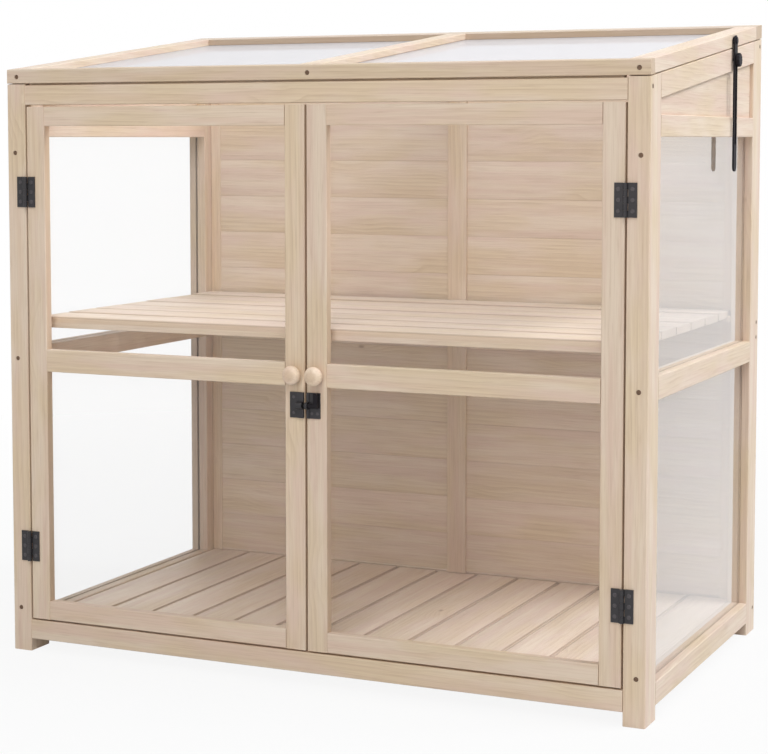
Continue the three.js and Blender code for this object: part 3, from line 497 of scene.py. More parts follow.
    def facing(self, tree: bpy.types.NodeTree, axis: Grain) -> bpy.types.NodeSocket:
        """Masks the faces that look along an axis.

        Args:
            tree: The material's tree.
            axis: The axis.

        Returns:
            The mask, which is 1 on those faces.
        """
        where = add_node(tree, "ShaderNodeTexCoord")
        lean = add_node(
            tree,
            "ShaderNodeVectorMath",
            {0: where.outputs["Normal"], 1: axis.unit()},
            operation="DOT_PRODUCT",
        )
        size = add_node(tree, "ShaderNodeMath", {0: lean.outputs["Value"]}, operation="ABSOLUTE")
        starts, full = FACING_LEAN
        return add_node(tree, "ShaderNodeMapRange", {0: size.outputs[0], 1: starts, 2: full}).outputs[0]

    def arris(self, tree: bpy.types.NodeTree) -> bpy.types.NodeSocket:
        """Masks the rounded arrises, where painted shade darkens a joint between boards.

        Args:
            tree: The material's tree.

        Returns:
            The mask, which is 1 on them.
        """
        where = add_node(tree, "ShaderNodeTexCoord")
        size = add_node(
            tree, "ShaderNodeVectorMath", {0: where.outputs["Normal"]}, operation="ABSOLUTE"
        )
        axes = add_node(tree, "ShaderNodeSeparateXYZ", {0: size.outputs[0]}).outputs
        most = axes[0]
        for axis in (axes[1], axes[2]):
            most = add_node(tree, "ShaderNodeMath", {0: most, 1: axis}, operation="MAXIMUM").outputs[0]
        starts, flat = FLAT_LEAN
        return add_node(
            tree, "ShaderNodeMapRange", {0: most, 1: starts, 2: flat, 3: 1.0, 4: 0.0}
        ).outputs[0]

    def surface(self, tree: bpy.types.NodeTree) -> bpy.types.NodeSocket:
        """Builds the pine.

        Args:
            tree: The material's empty tree.

        Returns:
            The socket that shows it.
        """
        where = self.board_place(tree)
        knot_mask, near = self.knots(tree, where)
        rings = self.rings(tree, where, near)
        _, flesh = self.pattern(tree, where, self.bands)
        _, straw = self.pattern(tree, where, self.patches)
        _, streaky = self.pattern(tree, where, self.streaks)
        fibres, dark_fibre = self.pattern(tree, where, self.fibres)
        sharp = add_node(tree, "ShaderNodeMath", {0: rings, 1: self.ring_edge}, operation="POWER")
        late = add_node(tree, "ShaderNodeMath", {0: sharp.outputs[0], 1: straw}, operation="MULTIPLY")
        layers = [
            (self.flesh, flesh, self.flesh_share),
            (self.straw, straw, self.straw_share),
            (self.ring, late.outputs[0], self.ring_share),
            (self.ring, dark_fibre, self.fibre_share),
            (self.streak, streaky, self.streak_share),
            (self.knot, knot_mask, self.knot_share),
            (self.sawn, self.facing(tree, self.grain), self.sawn_share),
        ]
        # Painted shade on the faces along the shaded axis, in the end grain's colour
        if self.rough_edge:
            layers.append((self.sawn, self.facing(tree, self.rough_edge), self.sawn_share))
        # Painted shade in the joints between boards, in the knot colour
        if self.arris_shade:
            layers.append((self.knot, self.arris(tree), self.arris_shade))
        colour = linear(self.pale)
        for over, share, most in layers:
            colour = self.tinted(tree, colour, over, share, most)
        board = add_node(tree, "ShaderNodeAttribute", attribute_name=BOARD_ATTRIBUTE)
        tone = add_node(
            tree,
            "ShaderNodeMath",
            {0: board.outputs["Fac"], 1: self.board_spread, 2: self.tone},
            operation="MULTIPLY_ADD",
        )
        toned = add_node(
            tree, "ShaderNodeHueSaturation", {"Value": tone.outputs[0], "Color": colour}
        ).outputs[0]
        height = add_node(
            tree, "ShaderNodeMath", {0: fibres, 1: 1.0, 2: rings}, operation="MULTIPLY_ADD"
        ).outputs[0]
        bump = add_node(
            tree, "ShaderNodeBump", {"Strength": 0.35, "Distance": self.relief * MM, "Height": height}
        )
        rough = add_node(
            tree,
            "ShaderNodeMapRange",
            {
                0: fibres,
                1: NOISE_LOW,
                2: NOISE_HIGH,
                3: self.roughness - self.smoother,
                4: self.roughness + self.rougher,
            },
        )
        shader = add_node(
            tree,
            "ShaderNodeBsdfPrincipled",
            {
                "Base Color": toned,
                "Roughness": rough.outputs[0],
                "IOR": 1.45,
                "Normal": bump.outputs[0],
                "Sheen Weight": self.fuzz,
                "Sheen Roughness": 0.4,
            },
        )
        return shader.outputs[0]


@dataclass(frozen=True)
class TurnedPine(PlanedPine):
    """Pine turned on a lathe and sanded.

    It gives the eye a smoother, slightly warmer ball, with close rings that close to
    ovals where the turning cuts through them.
    """

    pale: str = "#F6E1CC"
    flesh: str = "#F0D5C0"
    straw: str = "#F1DCBE"
    ring_spacing: float = 3.4
    roughness: float = 0.46

    def label(self) -> str:
        """Returns the name of the finish's material."""
        return f"turned_pine_{self.seed}"


@dataclass(frozen=True)
class ClearAcrylic(Finish):
    """Acrylic sheet, extruded clear. The photograph doesn't tell the kind, so acrylic is a guess.

    It gives the eye what stands behind it through a faint milky veil, and a plain
    reflection that grows as the view comes closer to the sheet's plane. The veil also
    thickens with the Fresnel reflectance: partly haze, partly painted reflection.
    """

    name: str
    veil: float
    # How much the milky veil thickens with the Fresnel reflectance: partly haze, partly painted reflection
    # at a grazing view
    haze: float = 0.3
    shine: float = 0.55
    body: str = "#E2E3E8"
    shade_share: float = 0.06
    index: float = 1.49
    # The veil thickens and thins over about a third of a metre
    drift_size: float = 1000 / 3
    drift_share: float = 0.03

    def label(self) -> str:
        """Returns the name of the finish's material."""
        return f"clear_acrylic_{self.name}"

    def surface(self, tree: bpy.types.NodeTree) -> bpy.types.NodeSocket:
        """Builds the sheet.

        Args:
            tree: The material's empty tree.

        Returns:
            The socket that shows it.
        """
        where = add_node(tree, "ShaderNodeTexCoord")
        drift = add_node(
            tree,
            "ShaderNodeTexNoise",
            {"Vector": where.outputs["Object"], "Scale": 1 / (self.drift_size * MM), "Detail": 0.0},
        )
        veil = add_node(
            tree,
            "ShaderNodeMapRange",
            {
                0: drift.outputs[0],
                1: NOISE_LOW,
                2: NOISE_HIGH,
                3: self.veil * (1 - self.drift_share),
                4: self.veil * (1 + self.drift_share),
            },
        )
        fresnel = add_node(tree, "ShaderNodeFresnel", {"IOR": self.index})
        veiled = add_node(
            tree,
            "ShaderNodeMath",
            {0: fresnel.outputs[0], 1: self.haze, 2: veil.outputs[0]},
            operation="MULTIPLY_ADD",
            use_clamp=True,
        )
        clear = add_node(tree, "ShaderNodeBsdfTransparent")
        milk = add_node(
            tree,
            "ShaderNodeBsdfPrincipled",
            {
                "Base Color": linear(self.body),
                "Roughness": 0.6,
                "IOR": self.index,
                "Specular IOR Level": 0.2,
            },
        )
        milky = add_node(
            tree, "ShaderNodeMixShader", {0: veiled.outputs[0], 1: clear.outputs[0], 2: milk.outputs[0]}
        )
        inside = add_node(tree, "ShaderNodeNewGeometry")
        outer = add_node(
            tree,
            "ShaderNodeMath",
            {0: inside.outputs["Backfacing"], 1: -self.shine, 2: self.shine},
            operation="MULTIPLY_ADD",
        )
        mirrored = add_node(
            tree,
            "ShaderNodeMath",
            {0: fresnel.outputs[0], 1: outer.outputs[0]},
            operation="MULTIPLY",
            use_clamp=True,
        )
        ray = add_node(tree, "ShaderNodeLightPath")
        direct = add_node(
            tree, "ShaderNodeMath", {0: 1.0, 1: ray.outputs["Is Diffuse Ray"]}, operation="SUBTRACT"
        )
        gloss_share = add_node(
            tree, "ShaderNodeMath", {0: mirrored.outputs[0], 1: direct.outputs[0]}, operation="MULTIPLY"
        )
        gloss = add_node(tree, "ShaderNodeBsdfAnisotropic", {"Color": linear(WHITE), "Roughness": 0.04})
        glossy = add_node(
            tree,
            "ShaderNodeMixShader",
            {0: gloss_share.outputs[0], 1: milky.outputs[0], 2: gloss.outputs[0]},
        )
        lit_share = add_node(
            tree,
            "ShaderNodeMath",
            {0: ray.outputs["Is Shadow Ray"], 1: 1 - self.shade_share},
            operation="MULTIPLY",
        )
        shown = add_node(
            tree, "ShaderNodeMixShader", {0: lit_share.outputs[0], 1: glossy.outputs[0], 2: clear.outputs[0]}
        )
        return shown.outputs[0]


@dataclass(frozen=True)
class BlackedSteel(Finish):
    """Pressed steel with a baked black coat.

    It gives the eye a soft charcoal sheen: the coat is a little uneven, which breaks up
    the highlights along the edges.
    """

    coat: str = "#29282B"
    worn: str = "#3B393C"
    metallic: float = 0.2
    specular: float = 0.4
    smooth: float = 0.34
    rough: float = 0.5
    speck_size: float = 1.6
    cloud_size: float = 14.0
    cloud_layers: float = 1.0
    relief: float = 0.08

    def surface(self, tree: bpy.types.NodeTree) -> bpy.types.NodeSocket:
        """Builds the coat.

        Args:
            tree: The material's empty tree.

        Returns:
            The socket that shows it.
        """
        where = add_node(tree, "ShaderNodeTexCoord")
        speck, cloud = (
            add_node(
                tree,
                "ShaderNodeTexNoise",
                {"Vector": where.outputs["Object"], "Scale": 1 / (size * MM), "Detail": layers},
            ).outputs[0]
            for size, layers in ((self.speck_size, 2.0), (self.cloud_size, self.cloud_layers))
        )
        colour = add_node(
            tree,
            "ShaderNodeMix",
            {"Factor": cloud, 6: linear(self.coat), 7: linear(self.worn)},
            data_type="RGBA",
        )
        rough = add_node(
            tree,
            "ShaderNodeMapRange",
            {0: speck, 1: NOISE_LOW, 2: NOISE_HIGH, 3: self.smooth, 4: self.rough},
        )
        inputs = {
            "Base Color": colour.outputs[2],
            "Roughness": rough.outputs[0],
            "Metallic": self.metallic,
            "Specular IOR Level": self.specular,
        }
        if self.relief:
            bump = add_node(
                tree, "ShaderNodeBump", {"Strength": 0.2, "Distance": self.relief * MM, "Height": speck}
            )
            inputs["Normal"] = bump.outputs[0]
        return add_node(tree, "ShaderNodeBsdfPrincipled", inputs).outputs[0]


@dataclass(frozen=True)
class OiledSteel(BlackedSteel):
    """Steel bar with a deeper black coat, as on the bolt and the stay.

    It gives the eye a deeper black than the pressed plates beside it. On the bolt this
    deeper black is painted shade, for the dark recesses beside it.
    """

    coat: str = "#18161A"
    worn: str = "#242126"
    metallic: float = 0.0
    specular: float = 0.12
    smooth: float = 0.48
    rough: float = 0.62


@dataclass(frozen=True)
class RubbedSteel(BlackedSteel):
    """Blacked steel for the screw heads, lighter than the plates.

    It gives the eye small heads a little lighter than the plate round them: a painted
    highlight on each head.
    """

    coat: str = "#464346"
    worn: str = "#5F5B5E"


@dataclass(frozen=True)
class BronzedScrew(BlackedSteel):
    """Hardened screw steel with a dark bronze coat.

    It gives the eye a small brown-black disc, finely mottled and without relief.
    """

    coat: str = "#8A6D56"
    worn: str = "#503D31"
    specular: float = 0.5
    smooth: float = 0.4
    rough: float = 0.6
    speck_size: float = 0.9
    cloud_size: float = 0.9
    cloud_layers: float = 2.0
    relief: float = 0.0


def dress(obj: bpy.types.Object, finish: Finish) -> None:
    """Gives an object one finish all over.

    Args:
        obj: A CAD node's object or a piece.
        finish: Its surface.
    """
    if not obj.material_slots:
        obj.data.materials.append(finish.material())
    for slot in obj.material_slots:
        slot.material = finish.material()


def new_piece(
    name: str,
    mesh: bpy.types.Mesh,
    body: str,
    finish: Finish,
    stands_for: tuple[str, ...] = (),
) -> bpy.types.Object:
    """Makes a finished mesh a piece of the greenhouse.

    Args:
        name: The piece's name.
        mesh: Its shape, in the shared frame.
        body: The body that carries it.
        finish: Its surface.
        stands_for: The CAD nodes that it replaces.

    Returns:
        The piece.
    """
    mesh.name = name
    piece = in_scene(name, mesh)
    dress(piece, finish)
    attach(piece, body)
    if stands_for:
        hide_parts(*stands_for)
    LOG.info("%s: %d faces on %s", name, len(mesh.polygons), body)
    return piece


def evaluated(carrier: bpy.types.Object) -> bpy.types.Mesh:
    """Turns what an object's modifiers make into a plain mesh, and removes the object.

    Args:
        carrier: An object with its modifiers set.

    Returns:
        The mesh.
    """
    graph = bpy.context.evaluated_depsgraph_get()
    mesh = bpy.data.meshes.new_from_object(
        carrier.evaluated_get(graph), preserve_all_data_layers=True, depsgraph=graph
    )
    carrier.modifiers.clear()
    bpy.data.objects.remove(carrier)
    return mesh


class ShapeTree:
    """A Geometry Nodes tree with named inputs, which makes plain meshes."""

    def __init__(self, name: str, inputs: dict[str, str]) -> None:
        """Starts a tree.

        Args:
            name: The tree's name.
            inputs: The type of each named input, such as NodeSocketFloat.
        """
        self.tree = bpy.data.node_groups.new(name, "GeometryNodeTree")
        face = self.tree.interface
        self.sockets = {
            label: face.new_socket(label, in_out="INPUT", socket_type=kind) for label, kind in inputs.items()
        }
        face.new_socket("Geometry", in_out="OUTPUT", socket_type="NodeSocketGeometry")
        self.source = add_node(self.tree, "NodeGroupInput").outputs

    def close(self, shape: bpy.types.NodeSocket) -> None:
        """Ends the tree with real geometry and its material.

        Args:
            shape: The instances to finish.
        """
        real = add_node(self.tree, "GeometryNodeRealizeInstances", {"Geometry": shape})
        made = add_node(
            self.tree,
            "GeometryNodeSetMaterial",
            {"Geometry": real.outputs[0], "Material": self.source["Material"]},
        )
        add_node(self.tree, "NodeGroupOutput", {"Geometry": made.outputs[0]})

    def mesh(self, base: bpy.types.Mesh, values: dict[str, object]) -> bpy.types.Mesh:
        """Runs the tree.

        Args:
            base: The mesh that the tree starts from.
            values: What each named input is set to.

        Returns:
            The plain mesh that it makes.
        """
        carrier = in_scene(self.tree.name, base)
        modifier = carrier.modifiers.new("shape", "NODES")
        modifier.node_group = self.tree
        for label, value in values.items():
            modifier[self.sockets[label].identifier] = value
        return evaluated(carrier)


@dataclass
class BoardRow:
    """A row of equal boards with rounded arrises, side by side with a gap between them."""

    name: str
    low: Vector
    high: Vector
    run: Grain
    step: Grain
    count: int
    gap: float
    arris: float
    seed: int
    settling: Vector = field(default_factory=Vector)

    def tree(self) -> ShapeTree:
        """Builds the tree: a rounded section is drawn out to a board, which is then repeated.

        Returns:
            The tree.
        """
        shape = ShapeTree(
            f"row_of_{self.name}",
            {
                "Geometry": "NodeSocketGeometry",
                "Count": "NodeSocketInt",
                "Board Width": "NodeSocketFloat",
                "Board Thickness": "NodeSocketFloat",
                "Board Length": "NodeSocketFloat",
                "Arris Radius": "NodeSocketFloat",
                "First Place": "NodeSocketVector",
                "Step": "NodeSocketVector",
                "Turn": "NodeSocketVector",
                "Settling": "NodeSocketVector",
                "Seed": "NodeSocketInt",
                "Material": "NodeSocketMaterial",
            },
        )
        tree, source = shape.tree, shape.source
        section = add_node(
            tree,
            "GeometryNodeCurvePrimitiveQuadrilateral",
            {"Width": source["Board Width"], "Height": source["Board Thickness"]},
        )
        rounded = add_node(
            tree,
            "GeometryNodeFilletCurve",
            {"Curve": section.outputs[0], "Radius": source["Arris Radius"], "Count": 3},
            mode="POLY",
        )
        end = add_node(tree, "ShaderNodeCombineXYZ", {"Z": source["Board Length"]})
        line = add_node(tree, "GeometryNodeCurvePrimitiveLine", {"End": end.outputs[0]})
        board = add_node(
            tree,
            "GeometryNodeCurveToMesh",
            {"Curve": line.outputs[0], "Profile Curve": rounded.outputs[0], "Fill Caps": True},
        )
        points = add_node(
            tree,
            "GeometryNodeMeshLine",
            {"Count": source["Count"], "Start Location": source["First Place"], "Offset": source["Step"]},
        )
        chance = add_node(
            tree,
            "FunctionNodeRandomValue",
            {2: -0.5, 3: 0.5, "Seed": source["Seed"]},
            data_type="FLOAT",
        )
        numbered = add_node(
            tree,
            "GeometryNodeStoreNamedAttribute",
            {"Geometry": points.outputs[0], "Name": BOARD_ATTRIBUTE, "Value": chance.outputs[1]},
        )
        other_seed = add_node(tree, "ShaderNodeMath", {0: source["Seed"], 1: SETTLING_SEED_STEP})
        uneven = add_node(
            tree, "FunctionNodeRandomValue", {"Seed": other_seed.outputs[0]}, data_type="FLOAT"
        )
        settled = add_node(
            tree,
            "ShaderNodeVectorMath",
            {0: source["Settling"], "Scale": uneven.outputs[1]},
            operation="SCALE",
        )
        lowered = add_node(
            tree,
            "GeometryNodeSetPosition",
            {"Geometry": numbered.outputs[0], "Offset": settled.outputs[0]},
        )
        turn = add_node(tree, "FunctionNodeEulerToRotation", {0: source["Turn"]})
        row = add_node(
            tree,
            "GeometryNodeInstanceOnPoints",
            {"Points": lowered.outputs[0], "Instance": board.outputs[0], "Rotation": turn.outputs[0]},
        )
        shape.close(row.outputs[0])
        return shape

    def mesh(self, finish: Finish) -> bpy.types.Mesh:
        """Works out one board from the row's box and repeats it.

        Args:
            finish: The boards' surface.

        Returns:
            The row as one mesh.
        """
        size = self.high - self.low
        run, step = self.run.value, self.step.value
        thick = 3 - run - step
        width = (size[step] - (self.count - 1) * self.gap) / self.count
        first = (self.low + self.high) / 2
        first[run] = self.low[run]
        first[step] = self.low[step] + width / 2
        pitch = self.step.unit() * (width + self.gap)
        along, beside = self.run.unit(), self.step.unit()
        turn = Matrix((beside, along.cross(beside), along)).transposed().to_euler()
        values = {
            "Count": self.count,
            "Board Width": width,
            "Board Thickness": size[thick],
            "Board Length": size[run],
            "Arris Radius": self.arris,
            "First Place": first,
            "Step": pitch,
            "Turn": turn,
            "Settling": self.settling,
            "Seed": self.seed,
            "Material": finish.material(),
        }
        return self.tree().mesh(bpy.data.meshes.new("empty"), values)


@dataclass
class Timber:
    """Loose lengths of planed timber that share one piece, each a box with eased long arrises."""

    grain: Grain
    boxes: list[tuple[Vector, Vector]]
    seed: int = 3
    arris: float = ARRIS * MM

    def mesh(self) -> bpy.types.Mesh:
        """Builds the lengths and numbers each one for its own grain.

        Returns:
            All lengths as one mesh.
        """
        chance = random.Random(self.seed)
        shape = bmesh.new()
        number = shape.faces.layers.float.new(BOARD_ATTRIBUTE)
        for low, high in self.boxes:
            size = high - low
            corner = bmesh.ops.create_cube(
                shape, size=1, matrix=Matrix.LocRotScale((low + high) / 2, None, size)
            )["verts"]
            edges = {edge for vertex in corner for edge in vertex.link_edges}
            along = [
                edge
                for edge in edges
                if abs((edge.verts[0].co - edge.verts[1].co).normalized()[self.grain.value]) > PARALLEL
            ]
            before = set(shape.faces) - {face for vertex in corner for face in vertex.link_faces}
            bmesh.ops.bevel(
                shape, geom=along, offset=self.arris, segments=2, profile=0.5, affect="EDGES"
            )
            value = chance.uniform(-0.5, 0.5)
            for face in set(shape.faces) - before:
                face[number] = value
        return closed_mesh(shape, "timber")


def merged_copy(node: str) -> bpy.types.Mesh:
    """Copies a CAD node's mesh, joins its loose triangles and clears the edges inside flat faces.

    Args:
        node: The CAD node's name.

    Returns:
        A new mesh with shared corners.
    """
    shape = bmesh.new()
    shape.from_mesh(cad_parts[node].data)
    bmesh.ops.remove_doubles(shape, verts=shape.verts, dist=SAME_POINT)
    bmesh.ops.dissolve_limit(
        shape, angle_limit=math.radians(FLAT_ANGLE), verts=shape.verts, edges=shape.edges
    )
    return closed_mesh(shape, node)


def softened(
    node: str, name: str, body: str, finish: Finish, radius: float
) -> bpy.types.Object:
    """Makes a CAD node again with its edges rounded.

    Args:
        node: The CAD node's name.
        name: The piece's name.
        body: The body that carries it.
        finish: Its surface.
        radius: Radius of the rounding in millimetres.

    Returns:
        The piece, which stands for the node.
    """
    mesh = merged_copy(node)
    mesh.shade_smooth()
    mesh.set_sharp_from_angle(angle=math.radians(CREASE_ANGLE))
    piece = new_piece(name, mesh, body, finish, (node,))
    rounding = piece.modifiers.new("rounding", "BEVEL")
    rounding.width = radius * MM
    rounding.segments = 2
    rounding.limit_method = "ANGLE"
    rounding.angle_limit = math.radians(ROUNDED_ANGLE)
    rounding.harden_normals = True
    return piece


@dataclass(frozen=True)
class Screw:
    """One screw: the middle of its head, the way that it faces and its head's radius in millimetres."""

    seat: Vector
    facing: Vector
    radius: float


@dataclass
class ScrewSet:
    """Countersunk screws with a cross recess, all on one body."""

    name: str
    body: str
    slot: str
    finish: Finish
    screws: list[Screw] = field(default_factory=list)
    seed: int = 11

    def tree(self) -> ShapeTree:
        """Builds the tree: a head with its recess is put on each point and turned to face out.

        Returns:
            The tree.
        """
        shape = ShapeTree(
            f"heads_of_{self.name}",
            {
                "Geometry": "NodeSocketGeometry",
                "Head Height": "NodeSocketFloat",
                "Recess Length": "NodeSocketFloat",
                "Recess Width": "NodeSocketFloat",
                "Recess Depth": "NodeSocketFloat",
                "Seed": "NodeSocketInt",
                "Material": "NodeSocketMaterial",
            },
        )
        tree, source = shape.tree, shape.source
        head = add_node(
            tree,
            "GeometryNodeMeshCone",
            {"Radius Top": 0.84, "Radius Bottom": 1.0, "Depth": source["Head Height"], "Vertices": 24},
        )
        lift = add_node(tree, "ShaderNodeCombineXYZ", {"Z": source["Head Height"]})
        recessed = head.outputs["Mesh"]
        long, short = source["Recess Length"], source["Recess Width"]
        for across, down in ((long, short), (short, long)):
            slot = add_node(tree, "ShaderNodeCombineXYZ", {0: across, 1: down, 2: source["Recess Depth"]})
            cutter = add_node(tree, "GeometryNodeMeshCube", {"Size": slot.outputs[0]})
            lifted = add_node(
                tree,
                "GeometryNodeTransform",
                {"Geometry": cutter.outputs[0], "Translation": lift.outputs[0]},
            )
            recessed = add_node(
                tree,
                "GeometryNodeMeshBoolean",
                {"Mesh 1": recessed, "Mesh 2": lifted.outputs[0]},
                solver="EXACT",
            ).outputs[0]
        facing = add_node(
            tree, "GeometryNodeInputNamedAttribute", {"Name": "facing"}, data_type="FLOAT_VECTOR"
        )
        size = add_node(tree, "GeometryNodeInputNamedAttribute", {"Name": "size"})
        aim = add_node(
            tree, "FunctionNodeAlignRotationToVector", {"Vector": facing.outputs[0]}, axis="Z"
        )
        chance = add_node(
            tree, "FunctionNodeRandomValue", {3: math.pi, "Seed": source["Seed"]}, data_type="FLOAT"
        )
        spin = add_node(
            tree,
            "FunctionNodeAxisAngleToRotation",
            {"Axis": (0.0, 0.0, 1.0), "Angle": chance.outputs[1]},
        )
        turned = add_node(
            tree,
            "FunctionNodeRotateRotation",
            {"Rotation": aim.outputs[0], "Rotate By": spin.outputs[0]},
            rotation_space="LOCAL",
        )
        heads = add_node(
            tree,
            "GeometryNodeInstanceOnPoints",
            {
                "Points": source["Geometry"],
                "Instance": recessed,
                "Rotation": turned.outputs[0],
                "Scale": size.outputs[0],
            },
        )
        shape.close(heads.outputs[0])
        return shape

    def build(self) -> bpy.types.Object:
        """Puts a head on each screw's place.

        Returns:
            The piece.
        """
        base = bpy.data.meshes.new(self.name)
        base.from_pydata([screw.seat for screw in self.screws], [], [])
        facing = base.attributes.new("facing", "FLOAT_VECTOR", "POINT")
        facing.data.foreach_set("vector", [part for screw in self.screws for part in screw.facing])
        size = base.attributes.new("size", "FLOAT", "POINT")
        size.data.foreach_set("value", [screw.radius * MM for screw in self.screws])
        values = {
            "Head Height": 0.24,
            "Recess Length": 1.1,
            "Recess Width": 0.26,
            "Recess Depth": 0.3,
            "Seed": self.seed,
            "Material": self.finish.material(),
        }
        mesh = self.tree().mesh(base, values)
        return new_piece(self.name, mesh, self.body, self.finish)


@dataclass
class DrilledTimber:
    """A length of timber from the CAD, with a countersink under each of its screws."""

    node: str
    finish: Finish
    screws: list[Screw]
    body: str = "cabinet"
    clearance: float = 0.2
    depth: float = 1.1
    hole_sides: int = 20

    def build(self) -> bpy.types.Object:
        """Cuts the countersinks out of a copy of the timber, which then stands for its node.

        Returns:
            The piece.
        """
        holes = bmesh.new()
        for screw in self.screws:
            turn = screw.facing.to_track_quat("Z", "Y").to_matrix().to_4x4()
            bmesh.ops.create_cone(
                holes,
                cap_ends=True,
                segments=self.hole_sides,
                radius1=(screw.radius + self.clearance) * MM,
                radius2=(screw.radius + self.clearance) * MM,
                depth=2 * self.depth * MM,
                matrix=Matrix.Translation(screw.seat) @ turn,
            )
        cutter = in_scene("countersinks", closed_mesh(holes, "countersinks"))
        carrier = in_scene(self.node, merged_copy(self.node))
        drill = carrier.modifiers.new("drill", "BOOLEAN")
        drill.operation = "DIFFERENCE"
        drill.solver = "EXACT"
        drill.object = cutter
        mesh = evaluated(carrier)
        bpy.data.objects.remove(cutter)
        return new_piece(f"drilled_{self.node}", mesh, self.body, self.finish, (self.node,))


@dataclass
class CabinetFrame:
    """The four posts and the rails between them, with the screws that hold them."""

    screw_radius: float = 2.9
    screw_sink: float = 0.8
    front_screw_levels: tuple[float, ...] = (681.5, 402.7, 59.0)
    front_screw_offset: float = 438.4
    side_screw: tuple[float, float] = (8.0, 762.0)
    rear_screw_levels: tuple[float, ...] = (829.0, 442.0, 421.0, 33.0)
    rear_screw_depth: float = 521.0
    fillet_inset: float = 6.0
    fillet_bed: float = 0.2
    fillet_gap: float = 0.5
    # Painted shade: the strip is darker than the other pine, as the shade in the gap under the lid
    fillet_tone: float = 0.8
    # Painted light: tones above 1 lighten a rail that stands in shade inside the cabinet
    lifted: dict[str, float] = field(default_factory=lambda: {"left_mid_rail": 1.12})
    level_rails: dict[str, Grain] = field(
        default_factory=lambda: {
            "front_header": Grain.ALONG_X,
            "front_bottom_rail": Grain.ALONG_X,
            "rear_top_rail": Grain.ALONG_X,
            "rear_bottom_rail": Grain.ALONG_X,
            "left_bottom_rail": Grain.ALONG_Y,
            "left_mid_rail": Grain.ALONG_Y,
            "left_top_rail": Grain.ALONG_Y,
            "left_gable_board": Grain.ALONG_Y,
            "right_bottom_rail": Grain.ALONG_Y,
            "right_mid_rail": Grain.ALONG_Y,
            "right_top_rail": Grain.ALONG_Y,
            "right_gable_board": Grain.ALONG_Y,
        }
    )

    def sunk(self, x: float, y: float, z: float, facing: Vector) -> Screw:
        """Returns a screw whose head is sunk a little below the face that the point lies on."""
        seat = place(x, y, z) - facing * self.screw_sink * MM
        return Screw(seat, facing, self.screw_radius)

    def front_screws(self, side: int) -> list[Screw]:
        """Places the screws of a front post: three in its face and one high on its side.

        Args:
            side: -1 for the left post and 1 for the right one.

        Returns:
            The screws.
        """
        offset = side * self.front_screw_offset
        screws = [self.sunk(offset, 0, level, AHEAD) for level in self.front_screw_levels]
        return [*screws, self.sunk(side * HALF_WIDTH, *self.side_screw, Vector((side, 0, 0)))]

    def rear_screws(self, side: int) -> list[Screw]:
        """Returns the screws in the side of a rear post."""
        x, y, outward = side * HALF_WIDTH, self.rear_screw_depth, Vector((side, 0, 0))
        return [self.sunk(x, y, level, outward) for level in self.rear_screw_levels]

    def build(self) -> list[Screw]:
        """Drills and dresses the posts and dresses the rails.

        Returns:
            The screws, for the set that makes their heads.
        """
        for number, (node, grain) in enumerate(self.level_rails.items()):
            # Painted shade: the front rails' top and bottom faces are tinted darker, as shade in the gaps
            # above and below them
            shaded_face = Grain.ALONG_Z if node.startswith("front_") else None
            tone = self.lifted.get(node, 1.0)
            pine = PlanedPine(grain, number % PINE_SEEDS, tone=tone, rough_edge=shaded_face)
            dress(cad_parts[node], pine)
        screws = []
        for side, name in ((-1, "left"), (1, "right")):
            front, rear = self.front_screws(side), self.rear_screws(side)
            DrilledTimber(f"front_{name}_post", PlanedPine(Grain.ALONG_Z, 1 + side), front).build()
            DrilledTimber(f"rear_{name}_post", PlanedPine(Grain.ALONG_Z, 4 + side), rear).build()
            screws += front + rear
        self.header_fillet()
        return screws

    def header_fillet(self) -> None:
        """Closes the wedge between the level header and the sloping lid with a thin strip."""
        low, high = Vector(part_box("front_header")[0]), Vector(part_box("front_header")[1])
        inset = self.fillet_inset * MM
        near, far = low.y + inset, high.y
        shape = bmesh.new()
        section = []
        for y in (near, far):
            depth = y / MM - CABINET_MIDDLE.y
            section.append((y, high.z - self.fillet_bed * MM))
            section.append((y, (lid_underside(depth) - self.fillet_gap) * MM))
        section[2], section[3] = section[3], section[2]
        ends = []
        for x in (low.x + inset, high.x - inset):
            ends.append([shape.verts.new((x, y, z)) for y, z in section])
        shape.faces.new(ends[0])
        shape.faces.new(ends[1])
        for here in range(4):
            after = (here + 1) % 4
            shape.faces.new((ends[0][here], ends[0][after], ends[1][after], ends[1][here]))
        bmesh.ops.recalc_face_normals(shape, faces=shape.faces)
        # Painted shade: the darker tone stands in for the shade under the lid
        pine = PlanedPine(Grain.ALONG_X, 0, tone=self.fillet_tone)
        new_piece("header_fillet", closed_mesh(shape, "header_fillet"), "cabinet", pine)


